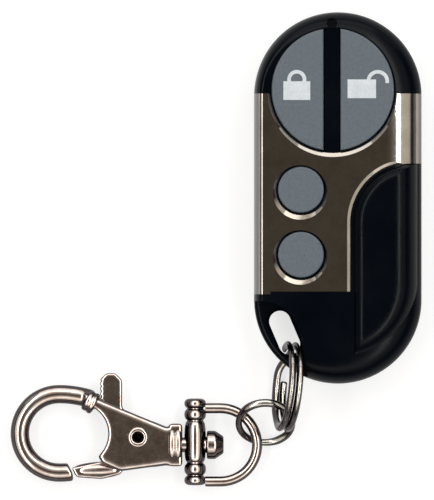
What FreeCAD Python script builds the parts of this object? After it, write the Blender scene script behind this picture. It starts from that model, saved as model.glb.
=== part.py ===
import FreeCAD, Part
import math
import os
import Sketcher

# Car alarm remote with a key ring chain and a trigger clasp, in millimetres.
# The remote lies on its back: +Z comes out of the button side, +Y points to the indicator
# end, and the origin is the centre of the flat back.

Vector = FreeCAD.Vector
doc = FreeCAD.newDocument("CarAlarmRemote")
sheet = doc.addObject("Spreadsheet::Sheet", "Dims")
NODES = []
DIMENSION_ALIASES = []


class Measure:
    """A size with the spreadsheet expression that drives it."""

    def __init__(self, text, value):
        self.text = text
        self.value = value

    def __add__(self, other):
        other = measure(other)
        return Measure(f"({self.text} + {other.text})", self.value + other.value)

    def __sub__(self, other):
        other = measure(other)
        return Measure(f"({self.text} - {other.text})", self.value - other.value)

    def __mul__(self, other):
        other = measure(other)
        return Measure(f"({self.text} * {other.text})", self.value * other.value)

    def __truediv__(self, other):
        other = measure(other)
        return Measure(f"({self.text} / {other.text})", self.value / other.value)

    def __neg__(self):
        return Measure(f"(0 - {self.text})", -self.value)

    __radd__ = __add__
    __rmul__ = __mul__

    def __rsub__(self, other):
        return measure(other) - self


def measure(item):
    """Take a plain number or a Measure and hand back a Measure."""
    if isinstance(item, Measure):
        return item
    return Measure(f"({float(item)!r})", float(item))


def cosine(degrees):
    """Cosine of an angle in degrees."""
    degrees = measure(degrees)
    return Measure(f"cos({degrees.text})", math.cos(math.radians(degrees.value)))


def sine(degrees):
    """Sine of an angle in degrees."""
    degrees = measure(degrees)
    return Measure(f"sin({degrees.text})", math.sin(math.radians(degrees.value)))


def root(item):
    """Square root of a size."""
    item = measure(item)
    return Measure(f"sqrt({item.text})", math.sqrt(item.value))


def dimension(alias, value):
    """Write one driving dimension to the sheet and read it back as a Measure."""
    DIMENSION_ALIASES.append(alias)
    row = len(DIMENSION_ALIASES)
    sheet.set(f"A{row}", alias)
    sheet.set(f"B{row}", str(value))
    sheet.setAlias(f"B{row}", alias)
    sheet.recompute()
    return Measure(f"Dims.{alias}", float(sheet.get(alias)))


# Fob outline and heights
fob_radius = dimension("fob_radius", 14.88)
fob_arc_offset = dimension("fob_arc_offset", 18.13)
parting_height = dimension("parting_height", 6.0)
side_height = dimension("side_height", 7.6)
plateau_height = dimension("plateau_height", 11.6)
plateau_radius = dimension("plateau_radius", 11.0)
plateau_shift = dimension("plateau_shift", 2.3)
back_edge_radius = dimension("back_edge_radius", 2.2)
shell_wall = dimension("shell_wall", 1.5)
lip_height = dimension("lip_height", 0.7)
fit_clearance = dimension("fit_clearance", 0.1)

# Battery bulge on the front
bulge_height = dimension("bulge_height", 13.0)
bulge_foot_depth = dimension("bulge_foot_depth", 1.2)
bulge_corner_x = dimension("bulge_corner_x", 12.9)
bulge_corner_y = dimension("bulge_corner_y", -4.35)
bulge_corner_radius = dimension("bulge_corner_radius", 10.3)
bulge_shoulder = dimension("bulge_shoulder", 2.0)
bulge_inset = dimension("bulge_inset", 0.5)
bulge_arc_offset = dimension("bulge_arc_offset", 15.0)
bulge_crown_radius = dimension("bulge_crown_radius", 11.5)
bulge_crown_shift = dimension("bulge_crown_shift", 1.02)

# Metal trim sheet
trim_thickness = dimension("trim_thickness", 0.9)
trim_top_y = dimension("trim_top_y", 18.5)
trim_bottom_y = dimension("trim_bottom_y", -16.6)
trim_right_bottom_y = dimension("trim_right_bottom_y", 6.1)
trim_bulge_gap = dimension("trim_bulge_gap", 0.15)
trim_edge_bevel = dimension("trim_edge_bevel", 0.85)
trim_bevel_drop = dimension("trim_bevel_drop", 0.4)
trim_tab_x = dimension("trim_tab_x", -12.0)
trim_tab_drop = dimension("trim_tab_drop", 0.5)
trim_peg_radius = dimension("trim_peg_radius", 0.6)
trim_peg_length = dimension("trim_peg_length", 1.6)
trim_peg_gap = dimension("trim_peg_gap", 2.1)
trim_peg_inset = dimension("trim_peg_inset", 2.4)
peg_well_radius = dimension("peg_well_radius", 1.2)

# Buttons
circle_x = dimension("circle_x", -0.95)
circle_y = dimension("circle_y", 19.2)
circle_radius = dimension("circle_radius", 10.85)
divider_left_x = dimension("divider_left_x", -2.4)
divider_right_x = dimension("divider_right_x", 0.2)
round_x = dimension("round_x", -6.6)
upper_round_y = dimension("upper_round_y", 1.44)
lower_round_y = dimension("lower_round_y", -10.08)
round_radius = dimension("round_radius", 4.06)
button_gap = dimension("button_gap", 0.2)
button_rise = dimension("button_rise", 0.05)
button_edge_radius = dimension("button_edge_radius", 0.3)
button_travel = dimension("button_travel", 0.6)
flange_width = dimension("flange_width", 0.7)
flange_thickness = dimension("flange_thickness", 0.8)
deck_height = dimension("deck_height", 8.2)
well_wall = dimension("well_wall", 1.1)
circle_rim = dimension("circle_rim", 0.12)
circle_rim_drop = dimension("circle_rim_drop", 0.1)
circle_bevel = dimension("circle_bevel", 0.38)
circle_bevel_drop = dimension("circle_bevel_drop", 0.3)
round_rim = dimension("round_rim", 0.15)
round_rim_drop = dimension("round_rim_drop", 0.13)
round_bevel = dimension("round_bevel", 0.42)
round_bevel_drop = dimension("round_bevel_drop", 0.35)
round_bevel_left = dimension("round_bevel_left", 0.14)

# Printed padlock symbols
print_thickness = dimension("print_thickness", 0.08)
lock_x = dimension("lock_x", -7.34)
lock_width = dimension("lock_width", 4.77)
lock_bottom_y = dimension("lock_bottom_y", 17.34)
lock_body_height = dimension("lock_body_height", 3.32)
shackle_radius = dimension("shackle_radius", 1.69)
shackle_stroke = dimension("shackle_stroke", 0.65)
shackle_leg = dimension("shackle_leg", 0.32)
unlock_x = dimension("unlock_x", 4.18)
unlock_width = dimension("unlock_width", 5.05)
open_shackle_radius = dimension("open_shackle_radius", 2.0)
open_shackle_x = dimension("open_shackle_x", 7.02)

# Indicator
lens_x = dimension("lens_x", -1.1)
lens_inset = dimension("lens_inset", 2.01)
lens_radius = dimension("lens_radius", 0.95)
led_height = dimension("led_height", 1.1)
led_length = dimension("led_length", 1.8)
led_width = dimension("led_width", 1.2)

# Circuit board and what stands on it
board_bottom = dimension("board_bottom", 3.6)
board_thickness = dimension("board_thickness", 1.0)
board_gap = dimension("board_gap", 0.3)
board_post_radius = dimension("board_post_radius", 1.3)
board_post_inset = dimension("board_post_inset", 2.0)
switch_width = dimension("switch_width", 4.5)
switch_height = dimension("switch_height", 1.5)
stem_radius = dimension("stem_radius", 1.1)
stem_clearance = dimension("stem_clearance", 0.15)
seal_thickness = dimension("seal_thickness", 0.4)
seal_hole_gap = dimension("seal_hole_gap", 0.5)
chip_length = dimension("chip_length", 5.0)
chip_width = dimension("chip_width", 4.0)
chip_height = dimension("chip_height", 1.3)
chip_lap = dimension("chip_lap", 1.0)
resonator_radius = dimension("resonator_radius", 1.9)
resonator_height = dimension("resonator_height", 1.2)
transistor_length = dimension("transistor_length", 2.9)
transistor_width = dimension("transistor_width", 1.3)
transistor_height = dimension("transistor_height", 1.0)
resistor_length = dimension("resistor_length", 1.6)
resistor_width = dimension("resistor_width", 0.8)
resistor_height = dimension("resistor_height", 0.5)
resistor_pitch = dimension("resistor_pitch", 1.7)
antenna_width = dimension("antenna_width", 0.5)
antenna_thickness = dimension("antenna_thickness", 0.1)

# Battery and its contacts
battery_wall_gap = dimension("battery_wall_gap", 2.23)
battery_radius = dimension("battery_radius", 3.85)
battery_length = dimension("battery_length", 27.4)
battery_nub_radius = dimension("battery_nub_radius", 1.6)
battery_nub_length = dimension("battery_nub_length", 0.6)
battery_clearance = dimension("battery_clearance", 0.1)
contact_thickness = dimension("contact_thickness", 0.4)
contact_width = dimension("contact_width", 5.6)
contact_end_gap = dimension("contact_end_gap", 0.05)
contact_foot = dimension("contact_foot", 3.0)
contact_boss_height = dimension("contact_boss_height", 1.5)
contact_boss_radius = dimension("contact_boss_radius", 2.0)
cradle_thickness = dimension("cradle_thickness", 1.2)

# Cover screws
screw_radius = dimension("screw_radius", 0.9)
screw_head_radius = dimension("screw_head_radius", 1.8)
screw_head_height = dimension("screw_head_height", 1.2)
screw_recess = dimension("screw_recess", 0.4)
drive_length = dimension("drive_length", 1.98)
drive_width = dimension("drive_width", 0.36)
screw_boss_radius = dimension("screw_boss_radius", 2.4)
upper_screw_inset = dimension("upper_screw_inset", 5.28)
upper_screw_gap = dimension("upper_screw_gap", 0.39)
lower_screw_x = dimension("lower_screw_x", -1.0)
lower_screw_inset = dimension("lower_screw_inset", 6.51)

# Key ring eyelet
relief_upper_inset = dimension("relief_upper_inset", -0.812)
relief_upper_angle = dimension("relief_upper_angle", 28.427)
relief_lower_inset = dimension("relief_lower_inset", -4.61)
relief_lower_angle = dimension("relief_lower_angle", 49.724)
relief_radius = dimension("relief_radius", 7.3)
lug_bottom = dimension("lug_bottom", 5.6)
lug_top = dimension("lug_top", 8.4)
lug_edge_radius = dimension("lug_edge_radius", 1.0)
eyelet_upper_inset = dimension("eyelet_upper_inset", 3.894)
eyelet_upper_angle = dimension("eyelet_upper_angle", 20.348)
eyelet_lower_inset = dimension("eyelet_lower_inset", 3.256)
eyelet_lower_angle = dimension("eyelet_lower_angle", 42.28)
eyelet_radius = dimension("eyelet_radius", 1.9)
eyelet_flare = dimension("eyelet_flare", 0.5)

# Split ring
split_outer_radius = dimension("split_outer_radius", 8.0)
split_wire_radial = dimension("split_wire_radial", 1.5)
split_wire_axial = dimension("split_wire_axial", 0.9)
split_turn_pitch = dimension("split_turn_pitch", 1.33)
split_hang = dimension("split_hang", 4.4)
split_side_shift = dimension("split_side_shift", 0.12)
split_lean = dimension("split_lean", 10.5)
split_yaw = dimension("split_yaw", 5.7)
split_step_angle = dimension("split_step_angle", 215.0)
split_step_span = dimension("split_step_span", 44.0)
floor_gap = dimension("floor_gap", 0.05)

# Jump ring
jump_back = dimension("jump_back", 4.27)
jump_drop = dimension("jump_drop", 14.08)
jump_radius = dimension("jump_radius", 4.75)
jump_wire_radius = dimension("jump_wire_radius", 0.62)
jump_tilt = dimension("jump_tilt", 41.0)

# Swivel loop
swivel_drop = dimension("swivel_drop", 3.97)
swivel_height = dimension("swivel_height", 2.6)
loop_radius = dimension("loop_radius", 6.53)
loop_wire_radius = dimension("loop_wire_radius", 0.93)
loop_back = dimension("loop_back", 7.98)
bar_back = dimension("bar_back", 6.5)
bar_width = dimension("bar_width", 3.75)
bar_web_width = dimension("bar_web_width", 2.6)
bar_web_height = dimension("bar_web_height", 3.0)
block_length = dimension("block_length", 3.4)
block_height = dimension("block_height", 4.6)
boss_length = dimension("boss_length", 7.25)
boss_height = dimension("boss_height", 5.0)
swivel_gap = dimension("swivel_gap", 0.3)

# Swivel post
post_radius = dimension("post_radius", 1.35)
post_clearance = dimension("post_clearance", 0.2)
post_head_radius = dimension("post_head_radius", 2.55)
post_head_length = dimension("post_head_length", 3.0)
post_end_radius = dimension("post_end_radius", 1.53)
post_grip = dimension("post_grip", 2.2)

# Clasp body
plate_thickness = dimension("plate_thickness", 4.8)
neck_length = dimension("neck_length", 2.4)
neck_width = dimension("neck_width", 7.6)
plate_right_back = dimension("plate_right_back", 2.05)
plate_top_rise = dimension("plate_top_rise", 2.8)
plate_bottom_drop = dimension("plate_bottom_drop", 3.5)
nose_back = dimension("nose_back", 17.85)
nose_rise = dimension("nose_rise", 9.3)
heel_back = dimension("heel_back", 11.35)
heel_drop = dimension("heel_drop", 4.75)
rim_back = dimension("rim_back", 14.65)
rim_drop = dimension("rim_drop", 3.3)
plate_edge_radius = dimension("plate_edge_radius", 0.7)
hook_back = dimension("hook_back", 22.3)
hook_rise = dimension("hook_rise", 2.05)
hook_radius = dimension("hook_radius", 7.0)
hook_wire_radius = dimension("hook_wire_radius", 1.7)
hook_flat_radius = dimension("hook_flat_radius", 18.5)
hook_top_sweep = dimension("hook_top_sweep", 25.0)
hook_tip_sweep = dimension("hook_tip_sweep", 7.5)
hook_tip_rise = dimension("hook_tip_rise", 1.5)
hook_tip_inset = dimension("hook_tip_inset", 0.6)
opening_back = dimension("opening_back", 18.85)
opening_radius = dimension("opening_radius", 5.3)

# Gate lever, its rivet and its spring
rivet_back = dimension("rivet_back", 8.21)
rivet_rise = dimension("rivet_rise", 1.4)
rivet_radius = dimension("rivet_radius", 1.0)
rivet_head_radius = dimension("rivet_head_radius", 1.9)
rivet_head_height = dimension("rivet_head_height", 0.35)
rivet_crown_radius = dimension("rivet_crown_radius", 1.615)
rivet_foot_radius = dimension("rivet_foot_radius", 1.6)
rivet_hole_radius = dimension("rivet_hole_radius", 0.75)
rivet_hole_depth = dimension("rivet_hole_depth", 1.2)
slot_height = dimension("slot_height", 2.6)
slot_left_back = dimension("slot_left_back", 15.85)
slot_right_back = dimension("slot_right_back", 5.85)
lever_thickness = dimension("lever_thickness", 2.2)
lever_hub_radius = dimension("lever_hub_radius", 2.0)
hub_side = dimension("hub_side", 2.6)
gate_lap = dimension("gate_lap", 0.2)
gate_end_inset = dimension("gate_end_inset", 2.0)
gate_heel_drop = dimension("gate_heel_drop", 0.5)
gate_tip_radius = dimension("gate_tip_radius", 13.05)
gate_tip_gap = dimension("gate_tip_gap", 0.27)
thumb_left_back = dimension("thumb_left_back", 15.05)
thumb_right_back = dimension("thumb_right_back", 11.05)
thumb_top_rise = dimension("thumb_top_rise", 12.8)
thumb_corner = dimension("thumb_corner", 1.2)
thumb_step = dimension("thumb_step", 1.4)
thumb_root_rise = dimension("thumb_root_rise", 8.1)
gate_top_drop = dimension("gate_top_drop", 2.9)
gate_bottom_drop = dimension("gate_bottom_drop", 6.1)
gate_wide_back = dimension("gate_wide_back", 14.65)
gate_tip_top_drop = dimension("gate_tip_top_drop", 4.1)
gate_tip_bottom_drop = dimension("gate_tip_bottom_drop", 5.7)
rib_pitch = dimension("rib_pitch", 0.9)
rib_depth = dimension("rib_depth", 0.3)
spring_radius = dimension("spring_radius", 1.75)
spring_wire_radius = dimension("spring_wire_radius", 0.2)
spring_recess = dimension("spring_recess", 0.7)

# How far a cutting tool runs past what it cuts, and how close two levels count as one
OVERSHOOT = 1.0
LEVEL_TOLERANCE = 0.01
DOME_LEVELS = 6
RESISTOR_COUNT = 5
RIB_COUNT = 4


# Places that follow from the driving dimensions
def corner_place(inset, angle):
    """A place in the lower left corner, from the arc centre, inside the rim by an inset."""
    reach = fob_radius - inset
    return -reach * cosine(angle), -fob_arc_offset - reach * sine(angle)


edge_reach = fob_radius + OVERSHOOT * 2
low_reach = -fob_arc_offset - edge_reach
full_height = bulge_height + OVERSHOOT
circle_reach = circle_radius + OVERSHOOT * 2
far_left = circle_x - circle_reach
far_right = circle_x + circle_reach
board_top = board_bottom + board_thickness
switch_top = board_top + switch_height
seal_top = switch_top + seal_thickness
button_top = plateau_height + button_rise
flange_bottom = deck_height - flange_thickness
circle_hole_radius = circle_radius + button_gap
round_hole_radius = round_radius + button_gap
trim_bevel_foot = plateau_height - trim_bevel_drop
inner_radius = fob_radius - shell_wall
battery_height = shell_wall + battery_radius + battery_clearance
battery_x = inner_radius - battery_radius - battery_wall_gap
contact_corner_x = battery_x + contact_width / 2
contact_reach = root(inner_radius * inner_radius - contact_corner_x * contact_corner_x)
contact_back_y = contact_end_gap - fob_arc_offset - contact_reach
battery_bottom_y = contact_back_y + contact_thickness + contact_boss_height
battery_top_y = battery_bottom_y + battery_length
battery_end_y = battery_top_y + battery_nub_length
upper_screw_x = fob_radius - upper_screw_inset
upper_screw_reach = circle_radius + flange_width + button_gap + screw_boss_radius + upper_screw_gap
upper_screw_across = upper_screw_x - circle_x
upper_screw_down = root(upper_screw_reach * upper_screw_reach - upper_screw_across * upper_screw_across)
upper_screw_y = circle_y - upper_screw_down
lower_screw_y = lower_screw_inset - fob_arc_offset - fob_radius
lens_y = fob_arc_offset + fob_radius - lens_inset
relief_upper_x, relief_upper_y = corner_place(relief_upper_inset, relief_upper_angle)
relief_lower_x, relief_lower_y = corner_place(relief_lower_inset, relief_lower_angle)
eyelet_upper_x, eyelet_upper_y = corner_place(eyelet_upper_inset, eyelet_upper_angle)
eyelet_lower_x, eyelet_lower_y = corner_place(eyelet_lower_inset, eyelet_lower_angle)
left_half_x = (divider_left_x + circle_x - circle_radius) / 2
right_half_x = (divider_right_x + circle_x + circle_radius) / 2
jump_x = eyelet_lower_x - jump_back
jump_y = eyelet_lower_y - jump_drop
swivel_y = jump_y - swivel_drop
loop_centre_x = jump_x - loop_back
bar_left_x = loop_centre_x - bar_back
plate_right_x = bar_left_x - plate_right_back
nose_x = bar_left_x - nose_back
heel_x = bar_left_x - heel_back
rim_x = bar_left_x - rim_back
hook_x = bar_left_x - hook_back
opening_x = bar_left_x - opening_back
rivet_x = bar_left_x - rivet_back
slot_left_x = bar_left_x - slot_left_back
slot_right_x = bar_left_x - slot_right_back
thumb_left_x = bar_left_x - thumb_left_back
thumb_right_x = bar_left_x - thumb_right_back
gate_wide_x = bar_left_x - gate_wide_back
plate_top_y = swivel_y + plate_top_rise
nose_y = swivel_y + nose_rise
hook_y = swivel_y + hook_rise
rivet_y = swivel_y + rivet_rise
thumb_top_y = swivel_y + thumb_top_rise
thumb_root_y = swivel_y + thumb_root_rise
plate_bottom_y = swivel_y - plate_bottom_drop
heel_y = swivel_y - heel_drop
rim_y = swivel_y - rim_drop
gate_top_y = swivel_y - gate_top_drop
gate_bottom_y = swivel_y - gate_bottom_drop
gate_tip_top_y = swivel_y - gate_tip_top_drop
gate_tip_bottom_y = swivel_y - gate_tip_bottom_drop
plate_bottom = swivel_height - plate_thickness / 2
plate_top = swivel_height + plate_thickness / 2
clasp_cut_height = plate_top + OVERSHOOT * 2


def set_expression(item, prop, size):
    """Bind one property to its size."""
    item.setExpression(prop, measure(size).text)


def place(item, x, y, z):
    """Bind the place of an object."""
    for axis, size in zip("xyz", (x, y, z)):
        set_expression(item, f"Placement.Base.{axis}", size)


def box(name, x_range, y_range, z_range):
    """A block between two measures along each axis."""
    item = doc.addObject("Part::Box", name)
    for prop, span in zip(("Length", "Width", "Height"), (x_range, y_range, z_range)):
        set_expression(item, prop, measure(span[1]) - span[0])
    place(item, x_range[0], y_range[0], z_range[0])
    return item


def cylinder(name, x, y, z, radius, length, axis="z"):
    """A round bar that starts at a place and runs along +X, +Y or +Z."""
    item = doc.addObject("Part::Cylinder", name)
    item.Placement = turn_from_z(axis)
    set_expression(item, "Radius", radius)
    set_expression(item, "Height", length)
    place(item, x, y, z)
    return item


def cone(name, x, y, z, start_radius, end_radius, length, axis="z"):
    """A round taper that starts at a place and runs along +X, +Y or +Z."""
    item = doc.addObject("Part::Cone", name)
    item.Placement = turn_from_z(axis)
    set_expression(item, "Radius1", start_radius)
    set_expression(item, "Radius2", end_radius)
    set_expression(item, "Height", length)
    place(item, x, y, z)
    return item


def turn_from_z(axis):
    """The turn that lays a bar drawn along +Z along another axis."""
    turns = {
        "x": FreeCAD.Rotation(Vector(0, 1, 0), 90),
        "y": FreeCAD.Rotation(Vector(1, 0, 0), -90),
        "z": FreeCAD.Rotation(),
    }
    return FreeCAD.Placement(Vector(), turns[axis])


def torus_arc(name, x, y, z, ring_radius, wire_radius, start, sweep):
    """A bent round bar in a level plane, from a start angle through a sweep in degrees."""
    item = doc.addObject("Part::Torus", name)
    set_expression(item, "Radius1", ring_radius)
    set_expression(item, "Radius2", wire_radius)
    set_expression(item, "Angle3", sweep)
    item.Placement = FreeCAD.Placement(Vector(), FreeCAD.Rotation(Vector(0, 0, 1), 1))
    set_expression(item, "Placement.Rotation.Angle", start)
    place(item, x, y, z)
    return item


def fuse(name, *items):
    """One solid from overlapping or touching ones."""
    item = doc.addObject("Part::MultiFuse", name)
    item.Shapes = list(items)
    item.Refine = True
    return item


def common(name, *items):
    """What several solids share."""
    item = doc.addObject("Part::MultiCommon", name)
    item.Shapes = list(items)
    return item


def cut(name, base, *tools):
    """A solid less one or more others."""
    item = doc.addObject("Part::Cut", name)
    item.Base = base
    item.Tool = tools[0] if len(tools) == 1 else fuse(f"{name}_tools", *tools)
    return item


def node(label, item):
    """Name a finished piece and list it for writing out."""
    item.Label = label
    NODES.append(item)
    return item


def new_body(name):
    """An empty feature body."""
    return doc.addObject("PartDesign::Body", name)


def level_sketch(body, name, z):
    """An empty sketch on the body's own level plane, raised to z."""
    plane = next(item for item in body.Origin.OriginFeatures if item.Role == "XY_Plane")
    sketch = body.newObject("Sketcher::SketchObject", name)
    sketch.AttachmentSupport = [(plane, "")]
    sketch.MapMode = "FlatFace"
    set_expression(sketch, "AttachmentOffset.Base.z", z)
    return sketch


def constrain(sketch, kind, *parts):
    """Add a constraint whose last entry is a size, bound to its expression."""
    size = measure(parts[-1])
    index = sketch.addConstraint(Sketcher.Constraint(kind, *parts[:-1], size.value))
    sketch.setExpression(f"Constraints[{index}]", size.text)


def pin_point(sketch, edge, point, x, y):
    """Tie one point of an edge to its place from the origin."""
    constrain(sketch, "DistanceX", -1, 1, edge, point, x)
    constrain(sketch, "DistanceY", -1, 1, edge, point, y)


def slot_sketch(body, name, z, start, end, radius):
    """A slot outline: two half circles about two centres, joined by tangent lines."""
    start = [measure(size) for size in start]
    end = [measure(size) for size in end]
    radius = measure(radius)
    sketch = level_sketch(body, name, z)
    first = Vector(start[0].value, start[1].value, 0)
    last = Vector(end[0].value, end[1].value, 0)
    along = (last - first).normalize()
    side = Vector(-along.y, along.x, 0) * radius.value
    angle = math.atan2(side.y, side.x)
    up = Vector(0, 0, 1)
    sketch.addGeometry(Part.ArcOfCircle(Part.Circle(first, up, radius.value), angle, angle + math.pi))
    sketch.addGeometry(Part.LineSegment(first - side, last - side))
    sketch.addGeometry(Part.ArcOfCircle(Part.Circle(last, up, radius.value), angle - math.pi, angle))
    sketch.addGeometry(Part.LineSegment(last + side, first + side))
    for edge in range(4):
        sketch.addConstraint(Sketcher.Constraint("Tangent", edge, 2, (edge + 1) % 4, 1))
    pin_point(sketch, 0, 3, *start)
    pin_point(sketch, 2, 3, *end)
    constrain(sketch, "Radius", 0, radius)
    sketch.addConstraint(Sketcher.Constraint("Equal", 0, 2))
    return sketch


def polygon_sketch(body, name, z, points):
    """A closed outline of straight lines through points."""
    points = [(measure(x), measure(y)) for x, y in points]
    sketch = level_sketch(body, name, z)
    corners = [Vector(x.value, y.value, 0) for x, y in points]
    count = len(points)
    for index in range(count):
        sketch.addGeometry(Part.LineSegment(corners[index], corners[(index + 1) % count]))
    for index in range(count):
        sketch.addConstraint(Sketcher.Constraint("Coincident", index, 2, (index + 1) % count, 1))
    for index, (x, y) in enumerate(points):
        pin_point(sketch, index, 1, x, y)
    return sketch


def pad(body, sketch, name, height):
    """Raise a sketch by a height."""
    feature = body.newObject("PartDesign::Pad", name)
    feature.Profile = sketch
    set_expression(feature, "Length", height)
    return feature


def loft(body, sketches, name):
    """A smooth skin through stacked outlines."""
    feature = body.newObject("PartDesign::AdditiveLoft", name)
    feature.Profile = sketches[0]
    feature.Sections = [(sketch, [""]) for sketch in sketches[1:]]
    feature.Ruled = False
    return feature


def round_face(body, feature, name, level, radius):
    """Round every edge of the level face at a height."""
    doc.recompute()
    faces = feature.Shape.Faces
    numbers = [
        number
        for number, face in enumerate(faces, start=1)
        if abs(face.normalAt(0, 0).z) > 1 - LEVEL_TOLERANCE
    ]
    number = min(numbers, key=lambda number: abs(faces[number - 1].CenterOfMass.z - level))
    rounding = body.newObject("PartDesign::Fillet", name)
    rounding.Base = (feature, [f"Face{number}"])
    set_expression(rounding, "Radius", radius)
    return rounding


# Outer form of the front cover
def quarter_round(step, steps):
    """Rise and inset, as shares, of one level of a quarter ellipse shoulder."""
    angle = math.pi / 2 * step / steps
    return math.sin(angle), 1 - math.cos(angle)


def front_form(name, inset, base, crown, top=(plateau_radius, plateau_shift), low_offset=fob_arc_offset):
    """The front's outer form, all faces drawn in by an inset, from a base level to a crown level."""
    top_radius, top_shift = top
    body = new_body(name)
    ends = ((0, -low_offset), (0, fob_arc_offset))
    side = slot_sketch(body, f"{name}_side", base, *ends, fob_radius - inset)
    pad(body, side, f"{name}_wall", side_height - base)
    levels = []
    for step in range(DOME_LEVELS + 1):
        rise, draw_in = quarter_round(step, DOME_LEVELS)
        height = side_height + (crown - inset - side_height) * rise
        centre_x = -top_shift * draw_in
        radius = fob_radius - inset - (fob_radius - top_radius) * draw_in
        ends = ((centre_x, -low_offset), (centre_x, fob_arc_offset))
        levels.append(slot_sketch(body, f"{name}_level{step}", height, *ends, radius))
    loft(body, levels, f"{name}_dome")
    return body


def bulge_sketch(body, name, z, inset):
    """The bulge region: a round upper left corner, open past the fob's right side and lower end."""
    corner_radius = bulge_corner_radius - inset
    left_x = bulge_corner_x - corner_radius
    top_y = bulge_corner_y + corner_radius
    sketch = level_sketch(body, name, z)
    corner = Vector(bulge_corner_x.value, bulge_corner_y.value, 0)
    arc_start = Vector(bulge_corner_x.value, top_y.value, 0)
    arc_end = Vector(left_x.value, bulge_corner_y.value, 0)
    low_left = Vector(left_x.value, low_reach.value, 0)
    low_right = Vector(edge_reach.value, low_reach.value, 0)
    top_right = Vector(edge_reach.value, top_y.value, 0)
    circle = Part.Circle(corner, Vector(0, 0, 1), corner_radius.value)
    sketch.addGeometry(Part.ArcOfCircle(circle, math.pi / 2, math.pi))
    sketch.addGeometry(Part.LineSegment(arc_end, low_left))
    sketch.addGeometry(Part.LineSegment(low_left, low_right))
    sketch.addGeometry(Part.LineSegment(low_right, top_right))
    sketch.addGeometry(Part.LineSegment(top_right, arc_start))
    sketch.addConstraint(Sketcher.Constraint("Tangent", 0, 2, 1, 1))
    sketch.addConstraint(Sketcher.Constraint("Coincident", 1, 2, 2, 1))
    sketch.addConstraint(Sketcher.Constraint("Coincident", 2, 2, 3, 1))
    sketch.addConstraint(Sketcher.Constraint("Coincident", 3, 2, 4, 1))
    sketch.addConstraint(Sketcher.Constraint("Tangent", 4, 2, 0, 1))
    for edge, kind in ((1, "Vertical"), (2, "Horizontal"), (3, "Vertical"), (4, "Horizontal")):
        sketch.addConstraint(Sketcher.Constraint(kind, edge))
    pin_point(sketch, 0, 3, bulge_corner_x, bulge_corner_y)
    constrain(sketch, "Radius", 0, corner_radius)
    pin_point(sketch, 3, 1, edge_reach, low_reach)
    return sketch


def bulge_region(name):
    """The upright room of the bulge, with a quarter round shoulder along its left and upper side."""
    body = new_body(name)
    foot = plateau_height - bulge_foot_depth
    pad(body, bulge_sketch(body, f"{name}_foot", side_height, 0), f"{name}_prism", foot - side_height)
    levels = []
    for step in range(DOME_LEVELS + 1):
        rise, draw_in = quarter_round(step, DOME_LEVELS)
        height = foot + (bulge_height - foot) * rise
        levels.append(bulge_sketch(body, f"{name}_level{step}", height, bulge_shoulder * draw_in))
    loft(body, levels, f"{name}_shoulder")
    return body


def relief_form(name, growth, bottom, top):
    """The upright slot in which the body gives way to the thin key ring lug."""
    body = new_body(name)
    start = (relief_upper_x, relief_upper_y)
    end = (relief_lower_x, relief_lower_y)
    outline = slot_sketch(body, f"{name}_outline", bottom, start, end, relief_radius + growth)
    pad(body, outline, f"{name}_prism", measure(top) - bottom)
    return body


def fob_prism(name, inset, bottom, top):
    """The fob outline drawn in by an inset, raised between two levels."""
    body = new_body(name)
    start = (0, -fob_arc_offset)
    end = (0, fob_arc_offset)
    outline = slot_sketch(body, f"{name}_outline", bottom, start, end, fob_radius - inset)
    pad(body, outline, f"{name}_prism", measure(top) - bottom)
    return body


front_skin = front_form("front_skin", 0, parting_height, plateau_height)
high_skin = front_form(
    "high_skin",
    bulge_inset,
    parting_height,
    bulge_height + bulge_inset,
    (bulge_crown_radius, bulge_crown_shift),
    bulge_arc_offset,
)
outer_form = fuse("outer_form", front_skin, common("bulge", high_skin, bulge_region("bulge_region")))
trim_floor = front_form("trim_floor", trim_thickness, parting_height, plateau_height)
cavity_form = front_form("cavity_form", shell_wall + trim_thickness / 2, parting_height, plateau_height)

# Trim sheet: a plan outline laid over the front, as thick as the trim
trim_plan = new_body("trim_plan")
trim_right_x = bulge_corner_x - bulge_corner_radius - trim_bulge_gap
region = polygon_sketch(
    trim_plan,
    "trim_plan_outline",
    parting_height,
    [
        (-edge_reach, trim_top_y),
        (-edge_reach, trim_bottom_y - trim_tab_drop),
        (trim_tab_x, trim_bottom_y - trim_tab_drop),
        (trim_tab_x, trim_bottom_y),
        (trim_right_x, trim_bottom_y),
        (trim_right_x, bulge_corner_y),
        (bulge_corner_x, bulge_corner_y),
        (bulge_corner_x, trim_right_bottom_y),
        (edge_reach, trim_right_bottom_y),
        (edge_reach, trim_top_y),
    ],
)
pad(trim_plan, region, "trim_plan_prism", plateau_height + OVERSHOOT - parting_height)
trim_corner_cut = cylinder(
    "trim_corner_cut",
    bulge_corner_x,
    bulge_corner_y,
    0,
    bulge_corner_radius + trim_bulge_gap,
    full_height,
)
ROUND_BUTTONS = {"upper": upper_round_y, "lower": lower_round_y}
circle_rim_radius = circle_hole_radius + circle_rim
round_rim_radius = round_hole_radius + round_rim
RIMS = {"circle": (circle_x, circle_y - circle_rim_drop, circle_rim_radius)}
for word, centre_y in ROUND_BUTTONS.items():
    RIMS[word] = (round_x, centre_y - round_rim_drop, round_rim_radius)
trim_blank = cut(
    "trim_blank",
    common("trim_skin", front_skin, trim_plan),
    trim_floor,
    trim_corner_cut,
    *[cylinder(f"trim_{word}_cut", x, y, 0, radius, full_height) for word, (x, y, radius) in RIMS.items()],
)
trim_underside = plateau_height - trim_thickness


def circle_sketch(body, name, z, x, y, radius):
    """A level circle."""
    sketch = level_sketch(body, name, z)
    centre = Vector(measure(x).value, measure(y).value, 0)
    sketch.addGeometry(Part.Circle(centre, Vector(0, 0, 1), measure(radius).value))
    pin_point(sketch, 0, 3, x, y)
    constrain(sketch, "Radius", 0, radius)
    return sketch


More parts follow.
